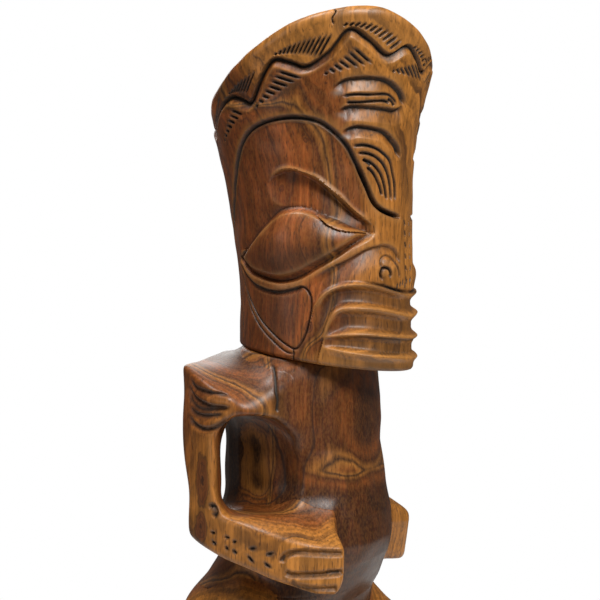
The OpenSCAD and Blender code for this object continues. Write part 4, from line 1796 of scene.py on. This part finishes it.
@dataclass
class Plinth:
    """The round plinth, with its edges worn by handling."""

    radius: float = 61.6
    height: float = 28.0
    edge: float = 2.6
    cell: float = 1.1
    flat_within: float = 40.0

    def build(self, shop: Workshop) -> None:
        """Turns, wears and hands over the plinth.

        Args:
            shop: The workshop that finishes it.
        """
        deselect()
        bpy.ops.mesh.primitive_cylinder_add(vertices=192, radius=self.radius * MM, depth=self.height * MM,
                                            location=(0, 0, self.height / 2 * MM), end_fill_type="NGON")
        piece = bpy.context.object
        piece.name = piece.data.name = "turned_plinth"
        bpy.ops.object.transform_apply(location=True, rotation=False, scale=False)
        bpy.ops.object.mode_set(mode="EDIT")
        bpy.ops.mesh.select_all(action="SELECT")
        bpy.ops.mesh.bevel(offset=self.edge * MM, segments=5, affect="EDGES", offset_type="OFFSET",
                           clamp_overlap=True)
        bpy.ops.mesh.select_all(action="SELECT")
        bpy.ops.mesh.quads_convert_to_tris()
        bpy.ops.object.mode_set(mode="OBJECT")
        remesh = piece.modifiers.new("even", "REMESH")
        remesh.mode = "VOXEL"
        remesh.voxel_size = self.cell * MM
        apply_all(piece)
        points = places(piece)
        lift = Unevenness(0.25, 22, 31).at(*points.T) + Unevenness(0.35, 60, 32).at(*points.T)
        around = np.maximum(np.hypot(points[:, 0], points[:, 1]), 1)
        points[:, :2] *= (1 + lift / around * (around > self.flat_within))[:, None]
        off = np.clip((points[:, 2] - 2) / 10, 0, 1)
        points[:, 2] += off * Unevenness(0.25, 30, 33).at(*points.T)
        points[:, 2] = np.maximum(points[:, 2], 0)
        place(piece, points)
        reach = np.hypot(points[:, 0], points[:, 1])
        rim = np.exp(-((reach - self.radius + 1) / 2.2)**2) * np.exp(-((points[:, 2] - self.height) / 2.5)**2)
        mark(piece, "worn", rim)
        # The lowest three millimetres are made darker towards the bottom.
        mark(piece, "stain_and_shade", 0.55 * ease((3.0 - points[:, 2]) / 3.0))
        thin(piece, 120_000)
        round_off(piece, 40)
        shop.hand_over(piece, "plinth_wood", "plinth")


# ---------------------------------------------------------------------------
# Floor, light and camera
# ---------------------------------------------------------------------------
@dataclass(frozen=True)
class SoftLight:
    """A square lamp that points at the figure."""

    name: str
    place: tuple[float, float, float]
    size: float
    power: float
    colour: Colour = (1.0, 0.98, 0.95)

    def build(self, target: Vector) -> None:
        """Hangs the lamp in its place.

        Args:
            target: The point that it is aimed at.
        """
        lamp = bpy.data.lights.new(self.name, "AREA")
        lamp.size = self.size
        lamp.energy = self.power
        lamp.color = self.colour
        holder = bpy.data.objects.new(self.name, lamp)
        holder.location = self.place
        holder.rotation_euler = (target - Vector(self.place)).to_track_quat("-Z", "Y").to_euler()
        bpy.context.scene.collection.objects.link(holder)


@dataclass
class Studio:
    """A plain pale floor, a white surround, soft lamps and the camera."""

    target: tuple[float, float, float] = (0.0, 0.012, 0.265)
    direction: tuple[float, float, float] = (-0.899, -0.438, 0.0)
    distance: float = 0.600
    lens: float = 72.0
    floor_radius: float = 0.42
    lights: tuple[SoftLight, ...] = (
        SoftLight("key", (-0.38, -0.88, 0.95), 0.35, 16.5),
        SoftLight("top", (-0.40, 0.05, 1.15), 0.35, 10.5),
        SoftLight("side", (-1.15, 0.55, 0.45), 0.40, 2.2),
        SoftLight("rear", (0.9, 0.7, 0.9), 0.8, 7.0))

    def build(self) -> None:
        """Sets the whole studio up."""
        deselect()
        bpy.ops.mesh.primitive_cylinder_add(vertices=128, radius=self.floor_radius, depth=0.004,
                                            location=(0, 0, -0.0021))
        floor = bpy.context.object
        floor.name = floor.data.name = "pale_floor"
        floor.data.materials.append(self.paint())
        for light in self.lights:
            light.build(Vector(self.target))
        self.surround()
        self.camera()

    def paint(self) -> bpy.types.Material:
        """Returns the floor's pale paint."""
        material = bpy.data.materials.new("pale_paint")
        material.use_nodes = True
        shader = material.node_tree.nodes["Principled BSDF"]
        shader.inputs["Base Color"].default_value = (0.80, 0.80, 0.79, 1)
        shader.inputs["Roughness"].default_value = 0.7
        return material

    def surround(self) -> None:
        """Makes a surround that looks white and lights the figure softly."""
        world = bpy.data.worlds.new("white_surround")
        bpy.context.scene.world = world
        world.use_nodes = True
        tree = world.node_tree
        n = Nodes(tree)
        back = tree.nodes["Background"]
        back.inputs["Color"].default_value = (1, 1, 1, 1)
        seen = n.add("ShaderNodeLightPath").outputs["Is Camera Ray"]
        n.feed(back.inputs["Strength"], n.span(seen, 0, 1, 0.10, 1.0, smooth=False))
        bpy.context.scene.view_settings.view_transform = "Standard"

    def camera(self) -> None:
        """Places the camera level with the middle of the head."""
        lens = bpy.data.cameras.new("view")
        lens.lens = self.lens
        lens.sensor_width = 36.0
        lens.clip_start = 0.01
        holder = bpy.data.objects.new("view", lens)
        way = Vector(self.direction).normalized()
        holder.location = Vector(self.target) + way * self.distance
        holder.rotation_euler = (-way).to_track_quat("-Z", "Y").to_euler()
        bpy.context.scene.collection.objects.link(holder)
        bpy.context.scene.camera = holder


def main() -> None:
    """Builds the figure from its crown down to its plinth, then the studio."""
    logging.basicConfig(level=logging.INFO, format="%(message)s")
    shop = Workshop()
    Head().build(shop)
    Crown().build(shop)
    Body().build(shop)
    Plinth().build(shop)
    Studio().build()


if __name__ == "__main__":
    main()
